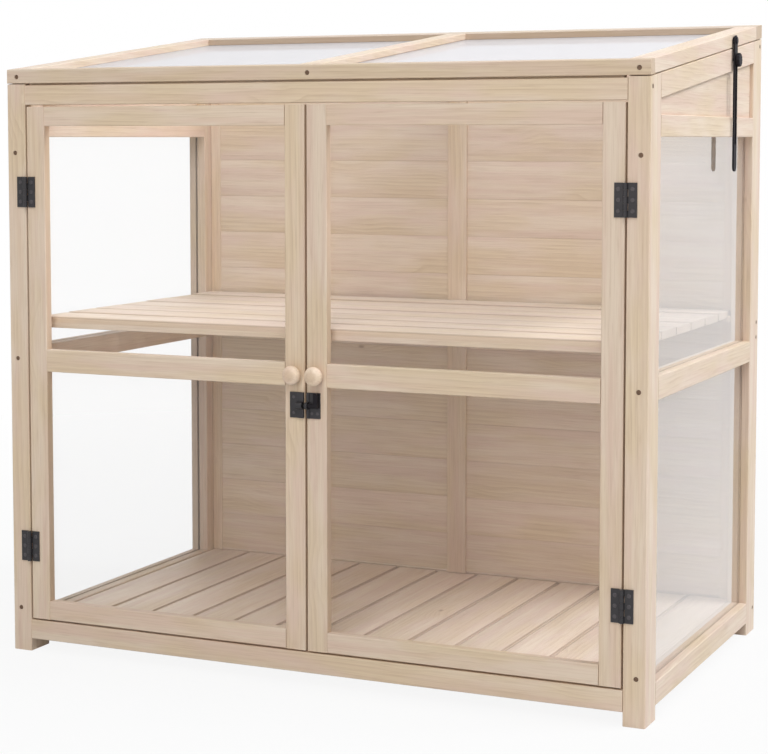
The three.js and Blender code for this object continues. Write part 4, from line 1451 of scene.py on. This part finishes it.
@dataclass
class BackPanel:
    """The boarded back: horizontal boards, the stiles over them and the rail outside."""

    board_count: int = 14
    thickness: float = 5.7
    foot: float = 47.7
    joint_radius: float = 0.6
    # Painted shade in the joints between the boards
    arris_shade: float = 0.14
    stile_levels: tuple[float, float] = (45.3, 824.2)
    middle_stile: tuple[float, float] = (30.0, 6.0)
    edge_stile: tuple[float, float] = (16.0, 2.0)
    stile_bed: float = 0.5
    rail_levels: tuple[float, float] = (409.0, 455.0)
    rail_gap: float = 0.1
    top_gap: float = 1.0

    def build(self) -> None:
        """Builds the boards, the stiles and the rail."""
        half = POST_INNER - JOINT_GAP
        rear = BACK_FACE + self.thickness
        top = roof_height(BACK_FACE) - self.top_gap
        pine = PlanedPine(
            Grain.ALONG_X,
            6,
            pale="#E9D9C8",
            flesh="#E1CABC",
            straw="#E4D2B6",
            arris_shade=self.arris_shade,
        )
        boards = BoardRow(
            "back_boards",
            place(-half, BACK_FACE, self.foot),
            place(half, rear, top),
            Grain.ALONG_X,
            Grain.ALONG_Z,
            self.board_count,
            0.0,
            self.joint_radius * MM,
            seed=5,
        )
        new_piece("back_boards", boards.mesh(pine), "cabinet", pine, ("back_panel",))
        low, high = self.stile_levels
        bed = BACK_FACE + self.stile_bed
        width, depth = self.middle_stile
        boxes = [(place(-width / 2, BACK_FACE - depth, low), place(width / 2, bed, high))]
        width, depth = self.edge_stile
        for inner, outer in ((-half, width - half), (half - width, half)):
            boxes.append((place(inner, BACK_FACE - depth, low), place(outer, bed, high)))
        upright = PlanedPine(Grain.ALONG_Z, 2)
        new_piece("back_stiles", Timber(Grain.ALONG_Z, boxes).mesh(), "cabinet", upright)
        low, high = self.rail_levels
        face = rear + self.rail_gap
        rail = Timber(Grain.ALONG_X, [(place(-half, face, low), place(half, CABINET_DEPTH, high))])
        new_piece("back_mid_rail", rail.mesh(), "cabinet", PlanedPine(Grain.ALONG_X, 1))


@dataclass
class FloorDeck:
    """The floor: slats from front to back on two bearers."""

    slat_count: int = 13
    gap: float = 4.2
    slat_arris: float = 1.7
    unevenness: float = 0.6
    # Painted light: the tone lightens the slats for light that doesn't reach the floor. The arris tint is
    # painted shade in the gaps.
    tone: float = 1.12
    arris_shade: float = 0.5
    top: float = 45.0
    slat_thickness: float = 10.0
    front: float = 16.3
    rear: float = 507.7
    bearer_width: float = 22.0
    bearer_height: float = 14.0

    def build(self) -> None:
        """Builds the slats and the bearers."""
        half = POST_INNER - JOINT_GAP
        underside = self.top - self.slat_thickness
        pine = PlanedPine(
            Grain.ALONG_Y,
            5,
            pale="#EADCCD",
            flesh="#E2CEC2",
            straw="#E5D5BF",
            tone=self.tone,
            arris_shade=self.arris_shade,
        )
        slats = BoardRow(
            "floor_slats",
            place(-half, self.front, underside),
            place(half, self.rear, self.top),
            Grain.ALONG_Y,
            Grain.ALONG_X,
            self.slat_count,
            self.gap * MM,
            self.slat_arris * MM,
            seed=8,
            settling=Vector((0, 0, -self.unevenness * MM)),
        )
        new_piece("floor_slats", slats.mesh(pine), "cabinet", pine, ("floor_deck",))
        foot = underside - self.bearer_height
        boxes = [
            (place(-half, y, foot), place(half, y + self.bearer_width, underside))
            for y in (self.front, self.rear - self.bearer_width)
        ]
        bearers = Timber(Grain.ALONG_X, boxes)
        new_piece("floor_bearers", bearers.mesh(), "cabinet", PlanedPine(Grain.ALONG_X, 3))


@dataclass
class ShelfDeck:
    """The shelf: slats from side to side on a bearer at the front and rear and three battens."""

    slat_count: int = 7
    gap: float = 4.6
    slat_arris: float = 2.3
    unevenness: float = 1.1
    # Painted light: the tone lightens the slats' tops. The arris tint is painted shade in the gaps.
    tone: float = 1.04
    arris_shade: float = 0.45
    top: float = 460.0
    slat_thickness: float = 10.0
    front: float = 25.0
    rear: float = 505.5
    rear_gap: float = 4.0
    slat_end: float = 418.0
    bearer_width: float = 20.0
    bearer_height: float = 6.0
    bearer_inset: float = 0.05
    bearer_lap: float = 3.0
    batten_width: float = 26.0
    batten_places: tuple[float, ...] = (-392.0, 0.0, 392.0)

    def build(self) -> None:
        """Builds the slats, the bearers and the battens."""
        rear = self.rear - self.rear_gap
        underside = self.top - self.slat_thickness
        pine = PlanedPine(
            Grain.ALONG_X,
            4,
            pale="#E9D9C8",
            flesh="#E0CABD",
            straw="#E4D2BA",
            tone=self.tone,
            arris_shade=self.arris_shade,
            # Painted shade on the slats' edges, which get less light than their tops
            rough_edge=Grain.ALONG_Y,
        )
        slats = BoardRow(
            "shelf_slats",
            place(-self.slat_end, self.front, underside),
            place(self.slat_end, rear, self.top),
            Grain.ALONG_X,
            Grain.ALONG_Y,
            self.slat_count,
            self.gap * MM,
            self.slat_arris * MM,
            seed=3,
            settling=Vector((0, 0, -self.unevenness * MM)),
        )
        new_piece("shelf_slats", slats.mesh(pine), "cabinet", pine, ("shelf_deck",))
        end = POST_INNER - JOINT_GAP
        foot = underside - self.bearer_height
        inner_front = self.front + self.bearer_width
        inner_rear = rear - self.bearer_width
        seat = underside + self.bearer_lap
        bearers = Timber(
            Grain.ALONG_X,
            [
                (place(-end, self.front + self.bearer_inset, foot), place(end, inner_front, seat)),
                (place(-end, inner_rear, foot), place(end, rear - self.bearer_inset, seat)),
            ],
        )
        new_piece("shelf_bearers", bearers.mesh(), "cabinet", PlanedPine(Grain.ALONG_X, 2))
        half = self.batten_width / 2
        battens = Timber(
            Grain.ALONG_Y,
            [
                (place(x - half, inner_front, foot), place(x + half, inner_rear, underside))
                for x in self.batten_places
            ],
        )
        new_piece("shelf_battens", battens.mesh(), "cabinet", PlanedPine(Grain.ALONG_Y, 1))


@dataclass
class SideSheets:
    """The four clear sheets in the sides. Those on the right get a thicker, greyer veil and a stronger
    reflection than the rest: painted reflection, for how the light falls on that side.
    """

    sheets: dict[str, ClearAcrylic] = field(
        default_factory=lambda: {
            "left": ClearAcrylic("left_side", veil=0.015, haze=0.0, shine=0.3),
            # Painted reflection: the right sheets' thicker, greyer veil and stronger shine stand in for the
            # light on that side
            "right": ClearAcrylic("right_side", veil=0.06, haze=0.1, shine=1.75, body="#B9BBC2"),
        }
    )

    def build(self) -> None:
        """Dresses the sheets."""
        for side, sheet in self.sheets.items():
            for level in ("lower", "upper"):
                dress(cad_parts[f"{side}_{level}_side_pane"], sheet)


@dataclass
class TurnedKnob:
    """A ball knob on a short neck, turned in one piece."""

    node: str
    body: str
    seed: int
    radius: float = 12.2
    half_depth: float = 9.0
    standout: float = 19.0
    neck_radius: float = 7.0
    foot_flare: float = 0.5
    foot_height: float = 0.6
    throat_flare: float = 0.6
    segments: int = 56
    steps: int = 26
    crease_angle: float = 50.0

    def profile(self) -> list[tuple[float, float]]:
        """Works out the outline that is turned round the knob's axis.

        Returns:
            The radius and the distance from the door of each point, from the neck to the tip.
        """
        centre = self.standout - self.half_depth
        neck = math.pi - math.asin((self.neck_radius + self.throat_flare) / self.radius)
        points = [(self.neck_radius + self.foot_flare, 0.0), (self.neck_radius, self.foot_height)]
        for step in range(self.steps + 1):
            angle = neck * (1 - step / self.steps)
            points.append((self.radius * math.sin(angle), centre + self.half_depth * math.cos(angle)))
        return points

    def build(self) -> None:
        """Turns the profile round the knob's axis."""
        low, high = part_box(self.node)
        middle = (Vector(low) + Vector(high)) / 2
        foot = Vector((middle.x, Vector(high).y, middle.z))
        shape = bmesh.new()
        rows = []
        for radius, rise in self.profile()[:-1]:
            row = []
            for segment in range(self.segments):
                angle = math.tau * segment / self.segments
                offset = Vector((radius * math.cos(angle), -rise, radius * math.sin(angle))) * MM
                row.append(shape.verts.new(foot + offset))
            rows.append(row)
        tip = shape.verts.new(foot + Vector((0, -self.standout, 0)) * MM)
        for lower, upper in zip(rows, rows[1:]):
            for here in range(self.segments):
                after = (here + 1) % self.segments
                shape.faces.new((lower[here], lower[after], upper[after], upper[here]))
        for here in range(self.segments):
            shape.faces.new((rows[-1][here], rows[-1][(here + 1) % self.segments], tip))
        shape.faces.new(rows[0])
        bmesh.ops.recalc_face_normals(shape, faces=shape.faces)
        mesh = closed_mesh(shape, self.node)
        mesh.shade_smooth()
        mesh.set_sharp_from_angle(angle=math.radians(self.crease_angle))
        finish = TurnedPine(Grain.ALONG_Y, self.seed)
        new_piece(f"turned_{self.node}", mesh, self.body, finish, (self.node,))


@dataclass
class ButtHinge:
    """A butt hinge: two leaves with rounded edges and three screws in each."""

    fixed_leaf: str
    moving_leaf: str
    moving_body: str
    pin: Vector
    reach: Vector
    run: Vector
    facing: Vector
    leaf_middle: float = 8.7
    leaf_face: float = 1.4
    spacing: float = 13.0
    screw_radius: float = 2.7
    edge_radius: float = 0.35

    def leaf_screws(self, direction: int) -> list[Screw]:
        """Places the three screws of the leaf that reaches one way from the pin.

        Args:
            direction: 1 for the fixed leaf and -1 for the moving one.

        Returns:
            The screws.
        """
        middle = self.pin + (self.reach * direction * self.leaf_middle - self.facing * self.leaf_face) * MM
        return [
            Screw(middle + self.run * step * self.spacing * MM, self.facing, self.screw_radius)
            for step in (-1, 0, 1)
        ]

    def build(self) -> tuple[list[Screw], list[Screw]]:
        """Builds both leaves.

        Returns:
            The screws of the fixed leaf and of the moving leaf.
        """
        for node, body in ((self.fixed_leaf, "cabinet"), (self.moving_leaf, self.moving_body)):
            softened(node, f"steel_{node}", body, BlackedSteel(), self.edge_radius)
        return self.leaf_screws(1), self.leaf_screws(-1)


@dataclass
class GlazedDoor:
    """One door: its tenoned frame, the clear sheet in its rebate, its knob and two hinges."""

    name: str
    side: int
    hinge_levels: dict[str, float] = field(default_factory=lambda: {"upper": 629.0, "lower": 146.0})
    pin_offset: float = 420.75
    pin_standoff: float = 3.3
    tone: float = 1.0
    knob_seed: int = 9

    def build(self) -> tuple[list[Screw], list[Screw]]:
        """Dresses the frame and the sheet and builds the knob and the hinges.

        Returns:
            The hinge screws in the post and those in the door.
        """
        body = f"{self.name}_door"
        seed = 2 + self.side
        for part in ("hinge_stile", "meeting_stile"):
            seed += 1
            # Painted shade: the stiles' side faces are tinted darker, as shade in the gaps beside the doors
            stile = PlanedPine(Grain.ALONG_Z, seed, tone=self.tone, rough_edge=Grain.ALONG_X)
            dress(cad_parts[f"{body}_{part}"], stile)
        for part in ("top_rail", "mid_rail", "bottom_rail"):
            seed += 1
            rail = PlanedPine(Grain.ALONG_X, seed % PINE_SEEDS, tone=self.tone)
            dress(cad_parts[f"{body}_{part}"], rail)
        dress(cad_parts[f"{body}_pane"], ClearAcrylic("door", veil=0.015, haze=0.1))
        TurnedKnob(f"{body}_knob", body, self.knob_seed).build()
        in_post, in_door = [], []
        for level_name, level in self.hinge_levels.items():
            hinge = ButtHinge(
                fixed_leaf=f"{self.name}_{level_name}_hinge_frame_leaf",
                moving_leaf=f"{self.name}_{level_name}_hinge_door_leaf",
                moving_body=body,
                pin=place(self.side * self.pin_offset, -self.pin_standoff, level),
                reach=Vector((self.side, 0, 0)),
                run=Vector((0, 0, 1)),
                facing=AHEAD,
            )
            fixed, moving = hinge.build()
            in_post += fixed
            in_door += moving
        return in_post, in_door


@dataclass
class DoorBolt:
    """The sliding bolt: a body plate on the right door, a keeper on the left one and the bolt."""

    level: float = 363.0
    plate_face: float = -1.7
    screw_sink: float = 0.2
    screw_radius: float = 2.1
    plate_edge: float = 0.25
    bolt_edge: float = 0.4
    keeper_screws: tuple[tuple[float, float], ...] = ((-16.5, 10.0), (-16.5, -10.0))
    body_screws: tuple[tuple[float, float], ...] = ((9.45, -10.0), (17.15, -10.0))

    def screws(self, places: tuple[tuple[float, float], ...]) -> list[Screw]:
        """Places the screws of one plate.

        Args:
            places: Each screw's distance from the cabinet's middle and its rise over the bolt's level.

        Returns:
            The screws.
        """
        y = self.plate_face + self.screw_sink
        return [Screw(place(x, y, self.level + rise), AHEAD, self.screw_radius) for x, rise in places]

    def build(self) -> tuple[list[Screw], list[Screw]]:
        """Builds the plates and the bolt.

        Returns:
            The keeper's screws and the body plate's screws.
        """
        # Painted shade: the bolt's deeper black stands in for the dark recesses beside it
        for node, body, steel, edge in (
            ("latch_keeper", "left_door", BlackedSteel(), self.plate_edge),
            ("latch_body", "right_door", BlackedSteel(), self.plate_edge),
            ("latch_bolt", "bolt", OiledSteel(), self.bolt_edge),
        ):
            softened(node, f"steel_{node}", body, steel, edge)
        return self.screws(self.keeper_screws), self.screws(self.body_screws)


@dataclass
class PitchedLid:
    """The sloping lid: four rails and a bar round a clear sheet, on two hinges at its rear edge."""

    timbers: dict[str, Grain] = field(
        default_factory=lambda: {
            "lid_left_rail": Grain.ALONG_Y,
            "lid_right_rail": Grain.ALONG_Y,
            "lid_centre_bar": Grain.ALONG_Y,
        }
    )
    front_screw_places: tuple[float, ...] = (-434.8, 3.0, 435.7)
    front_screw_level: float = 783.5
    front_screw_depth: float = 2.0
    screw_sink: float = 1.2
    screw_radius: float = 2.9
    front_tone: float = 0.93
    # Painted shade: the rear rail is darker all over, as the shade on its inner face
    rear_tone: float = 0.84
    hinge_offset: float = 300.0
    pin_standoff: float = 3.3
    pin_rise: float = 0.6

    def build(self) -> tuple[list[Screw], list[Screw], list[Screw]]:
        """Dresses the timber and the sheet and builds the hinges.

        Returns:
            The hinge screws in the cabinet, those in the lid and the lid's own wood screws.
        """
        for number, (node, grain) in enumerate(self.timbers.items()):
            dress(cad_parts[node], PlanedPine(grain, number + 1))
        # Painted shade: the rear rail's inner and rear faces are tinted darker still
        rear = PlanedPine(Grain.ALONG_X, 4, tone=self.rear_tone, rough_edge=Grain.ALONG_Y)
        dress(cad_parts["lid_rear_rail"], rear)
        low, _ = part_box("lid_front_rail")
        y = Vector(low).y / MM - CABINET_MIDDLE.y + self.screw_sink
        screws = [
            Screw(place(x, y, self.front_screw_level), AHEAD, self.screw_radius)
            for x in self.front_screw_places
        ]
        # Painted shade: the front rail's top and bottom faces are tinted darker than its front
        pine = PlanedPine(Grain.ALONG_X, 0, tone=self.front_tone, rough_edge=Grain.ALONG_Z)
        DrilledTimber("lid_front_rail", pine, screws, "lid", depth=self.front_screw_depth).build()
        sheet = ClearAcrylic("lid", veil=0.12, haze=1.0, shine=0.35, body="#D5D1D3")
        dress(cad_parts["lid_pane"], sheet)
        in_cabinet, in_lid = [], []
        for side, name in ((-1, "left"), (1, "right")):
            level = roof_height(CABINET_DEPTH) + self.pin_rise
            hinge = ButtHinge(
                fixed_leaf=f"lid_{name}_hinge_frame_leaf",
                moving_leaf=f"lid_{name}_hinge_lid_leaf",
                moving_body="lid",
                pin=place(side * self.hinge_offset, CABINET_DEPTH + self.pin_standoff, level),
                reach=Vector((0, 0, -1)),
                run=Vector((1, 0, 0)),
                facing=Vector((0, 1, 0)),
            )
            fixed, moving = hinge.build()
            in_cabinet += fixed
            in_lid += moving
        return in_cabinet, in_lid, screws


@dataclass
class LidStay:
    """The slotted stay on the right-hand side and the fluted knob that clamps it."""

    edge_radius: float = 0.4

    def build(self) -> None:
        """Builds the stay and its knob."""
        steel = OiledSteel()
        softened("stay_bar", "steel_stay_bar", "stay", steel, self.edge_radius)
        softened("stay_clamp_knob", "steel_clamp_knob", "clamp_knob", steel, self.edge_radius)


@dataclass
class SoftLamp:
    """A large square lamp that shines at the middle of the cabinet. It may be kept out of reflections."""

    name: str
    power: float
    size: float
    place: Vector
    colour: tuple[float, float, float]
    glares: bool = True
    target_height: float = 0.4

    def build(self) -> None:
        """Hangs the lamp."""
        lamp = bpy.data.lights.new(self.name, "AREA")
        lamp.energy = self.power
        lamp.size = self.size
        lamp.color = self.colour
        hung = in_scene(self.name, lamp)
        hung.location = self.place
        aim = Vector((0, 0, self.target_height)) - self.place
        hung.rotation_euler = aim.to_track_quat("-Z", "Y").to_euler()
        hung.visible_glossy = self.glares


@dataclass
class Studio:
    """A plain pale floor, soft light from the front, the right and behind, and the camera."""

    floor_half: float = 8.0
    lamps: tuple[SoftLamp, ...] = (
        SoftLamp("front_lamp", 111.0, 2.6, Vector((1.4, -3.9, 4.91)), (0.98, 1.0, 0.98)),
        SoftLamp("low_lamp", 61.0, 2.4, Vector((0.6, -4.9, 2.0)), (1.0, 0.9, 0.8)),
        SoftLamp("top_lamp", 52.0, 3.0, Vector((0.3, -0.6, 5.4)), (0.68, 0.86, 1.0)),
        SoftLamp("side_lamp", 196.0, 2.2, Vector((3.74, 0.91, 4.04)), (0.97, 0.98, 1.0)),
        SoftLamp("rear_lamp", 52.0, 2.6, Vector((-2.6, 4.2, 3.3)), (1.0, 0.97, 0.93), False),
    )
    ambient: float = 0.16
    paper: str = "#D8D8D8"
    near_white: float = 0.9
    fade_starts: float = 0.7
    fade_ends: float = 2.4
    camera_place: tuple[float, float, float] = (1.1143, -2.478, 0.7012)
    azimuth: float = 24.479
    pitch: float = 4.144
    lens: float = 92.294
    sensor: float = 36.0
    shift: float = -0.125

    def floor(self) -> None:
        """Lays the floor: it keeps the object's shadow and otherwise shows white to the camera."""
        mesh = bpy.data.meshes.new("studio_floor")
        half = self.floor_half
        mesh.from_pydata(
            [(-half, -half, 0), (half, -half, 0), (half, half, 0), (-half, half, 0)], [], [(0, 1, 2, 3)]
        )
        floor = in_scene("studio_floor", mesh)
        paper = bpy.data.materials.new("studio_paper")
        tree = emptied(paper)
        matt = add_node(tree, "ShaderNodeBsdfDiffuse", {"Color": linear(self.paper)})
        white = add_node(tree, "ShaderNodeEmission", {"Color": linear(WHITE), "Strength": 1.0})
        where = add_node(tree, "ShaderNodeTexCoord")
        away = add_node(tree, "ShaderNodeVectorMath", {0: where.outputs["Object"]}, operation="LENGTH")
        fade = add_node(
            tree,
            "ShaderNodeMapRange",
            {
                0: away.outputs["Value"],
                1: self.fade_starts,
                2: self.fade_ends,
                3: self.near_white,
                4: 1.0,
            },
        )
        share = add_node(
            tree,
            "ShaderNodeMath",
            {0: self.seen(tree), 1: fade.outputs[0]},
            operation="MULTIPLY",
        )
        mixed = add_node(
            tree, "ShaderNodeMixShader", {0: share.outputs[0], 1: matt.outputs[0], 2: white.outputs[0]}
        )
        add_node(tree, "ShaderNodeOutputMaterial", {"Surface": mixed.outputs[0]})
        mesh.materials.append(paper)

    def seen(self, tree: bpy.types.NodeTree) -> bpy.types.NodeSocket:
        """Tells the rays that show a surface from those that light with it.

        Args:
            tree: The tree of a material or the world.

        Returns:
            1 for what the camera, a reflection or a look through glass shows, and otherwise 0.
        """
        ray = add_node(tree, "ShaderNodeLightPath")
        seen = ray.outputs["Is Camera Ray"]
        for name in ("Is Glossy Ray", "Is Transmission Ray"):
            seen = add_node(
                tree, "ShaderNodeMath", {0: seen, 1: ray.outputs[name]}, operation="MAXIMUM"
            ).outputs[0]
        return seen

    def world(self) -> None:
        """Makes the surroundings: white where they show, and a softer level where they light."""
        world = bpy.data.worlds.new("studio_air")
        tree = emptied(world)
        level = add_node(tree, "ShaderNodeMapRange", {0: self.seen(tree), 3: self.ambient, 4: 1.0})
        air = add_node(
            tree, "ShaderNodeBackground", {"Color": linear(WHITE), "Strength": level.outputs[0]}
        )
        add_node(tree, "ShaderNodeOutputWorld", {"Surface": air.outputs[0]})
        bpy.context.scene.world = world

    def camera(self) -> None:
        """Sets the camera at the photograph's viewing angle."""
        lens = bpy.data.cameras.new("camera")
        lens.lens = self.lens
        lens.sensor_width = self.sensor
        lens.shift_y = self.shift
        camera = in_scene("camera", lens)
        turn, dip = math.radians(self.azimuth), math.radians(self.pitch)
        view = Vector((-math.sin(turn) * math.cos(dip), math.cos(turn) * math.cos(dip), -math.sin(dip)))
        camera.location = self.camera_place
        camera.rotation_euler = view.to_track_quat("-Z", "Y").to_euler()
        bpy.context.scene.camera = camera

    def build(self) -> None:
        """Sets up the floor, the surroundings, the lamps and the camera."""
        self.floor()
        self.world()
        for lamp in self.lamps:
            lamp.build()
        self.camera()
        bpy.context.scene.view_settings.view_transform = "Standard"


def main() -> None:
    """Builds the studio and each sub-assembly."""
    logging.basicConfig(level=logging.INFO, format="%(message)s")
    Studio().build()
    wood_screws = CabinetFrame().build()
    BackPanel().build()
    FloorDeck().build()
    ShelfDeck().build()
    SideSheets().build()
    left_post, left_door = GlazedDoor("left", -1).build()
    right_post, right_door = GlazedDoor("right", 1, tone=0.97, knob_seed=10).build()
    keeper, latch_plate = DoorBolt().build()
    lid_cabinet, lid_own, lid_wood = PitchedLid().build()
    LidStay().build()
    # The hinge and latch screws get the lighter steel: a painted highlight on their heads
    bronzed, steel = BronzedScrew(), RubbedSteel()
    in_cabinet = left_post + right_post + lid_cabinet
    sets = (
        ScrewSet("frame_screws", "cabinet", "black_steel", bronzed, wood_screws),
        ScrewSet("lid_screws", "lid", "black_steel", bronzed, lid_wood),
        ScrewSet("cabinet_hinge_screws", "cabinet", "black_steel", steel, in_cabinet),
        ScrewSet("left_door_screws", "left_door", "black_steel", steel, left_door + keeper),
        ScrewSet("right_door_screws", "right_door", "black_steel", steel, right_door + latch_plate),
        ScrewSet("lid_hinge_screws", "lid", "black_steel", steel, lid_own),
    )
    for screws in sets:
        screws.build()


if __name__ == "__main__":
    main()
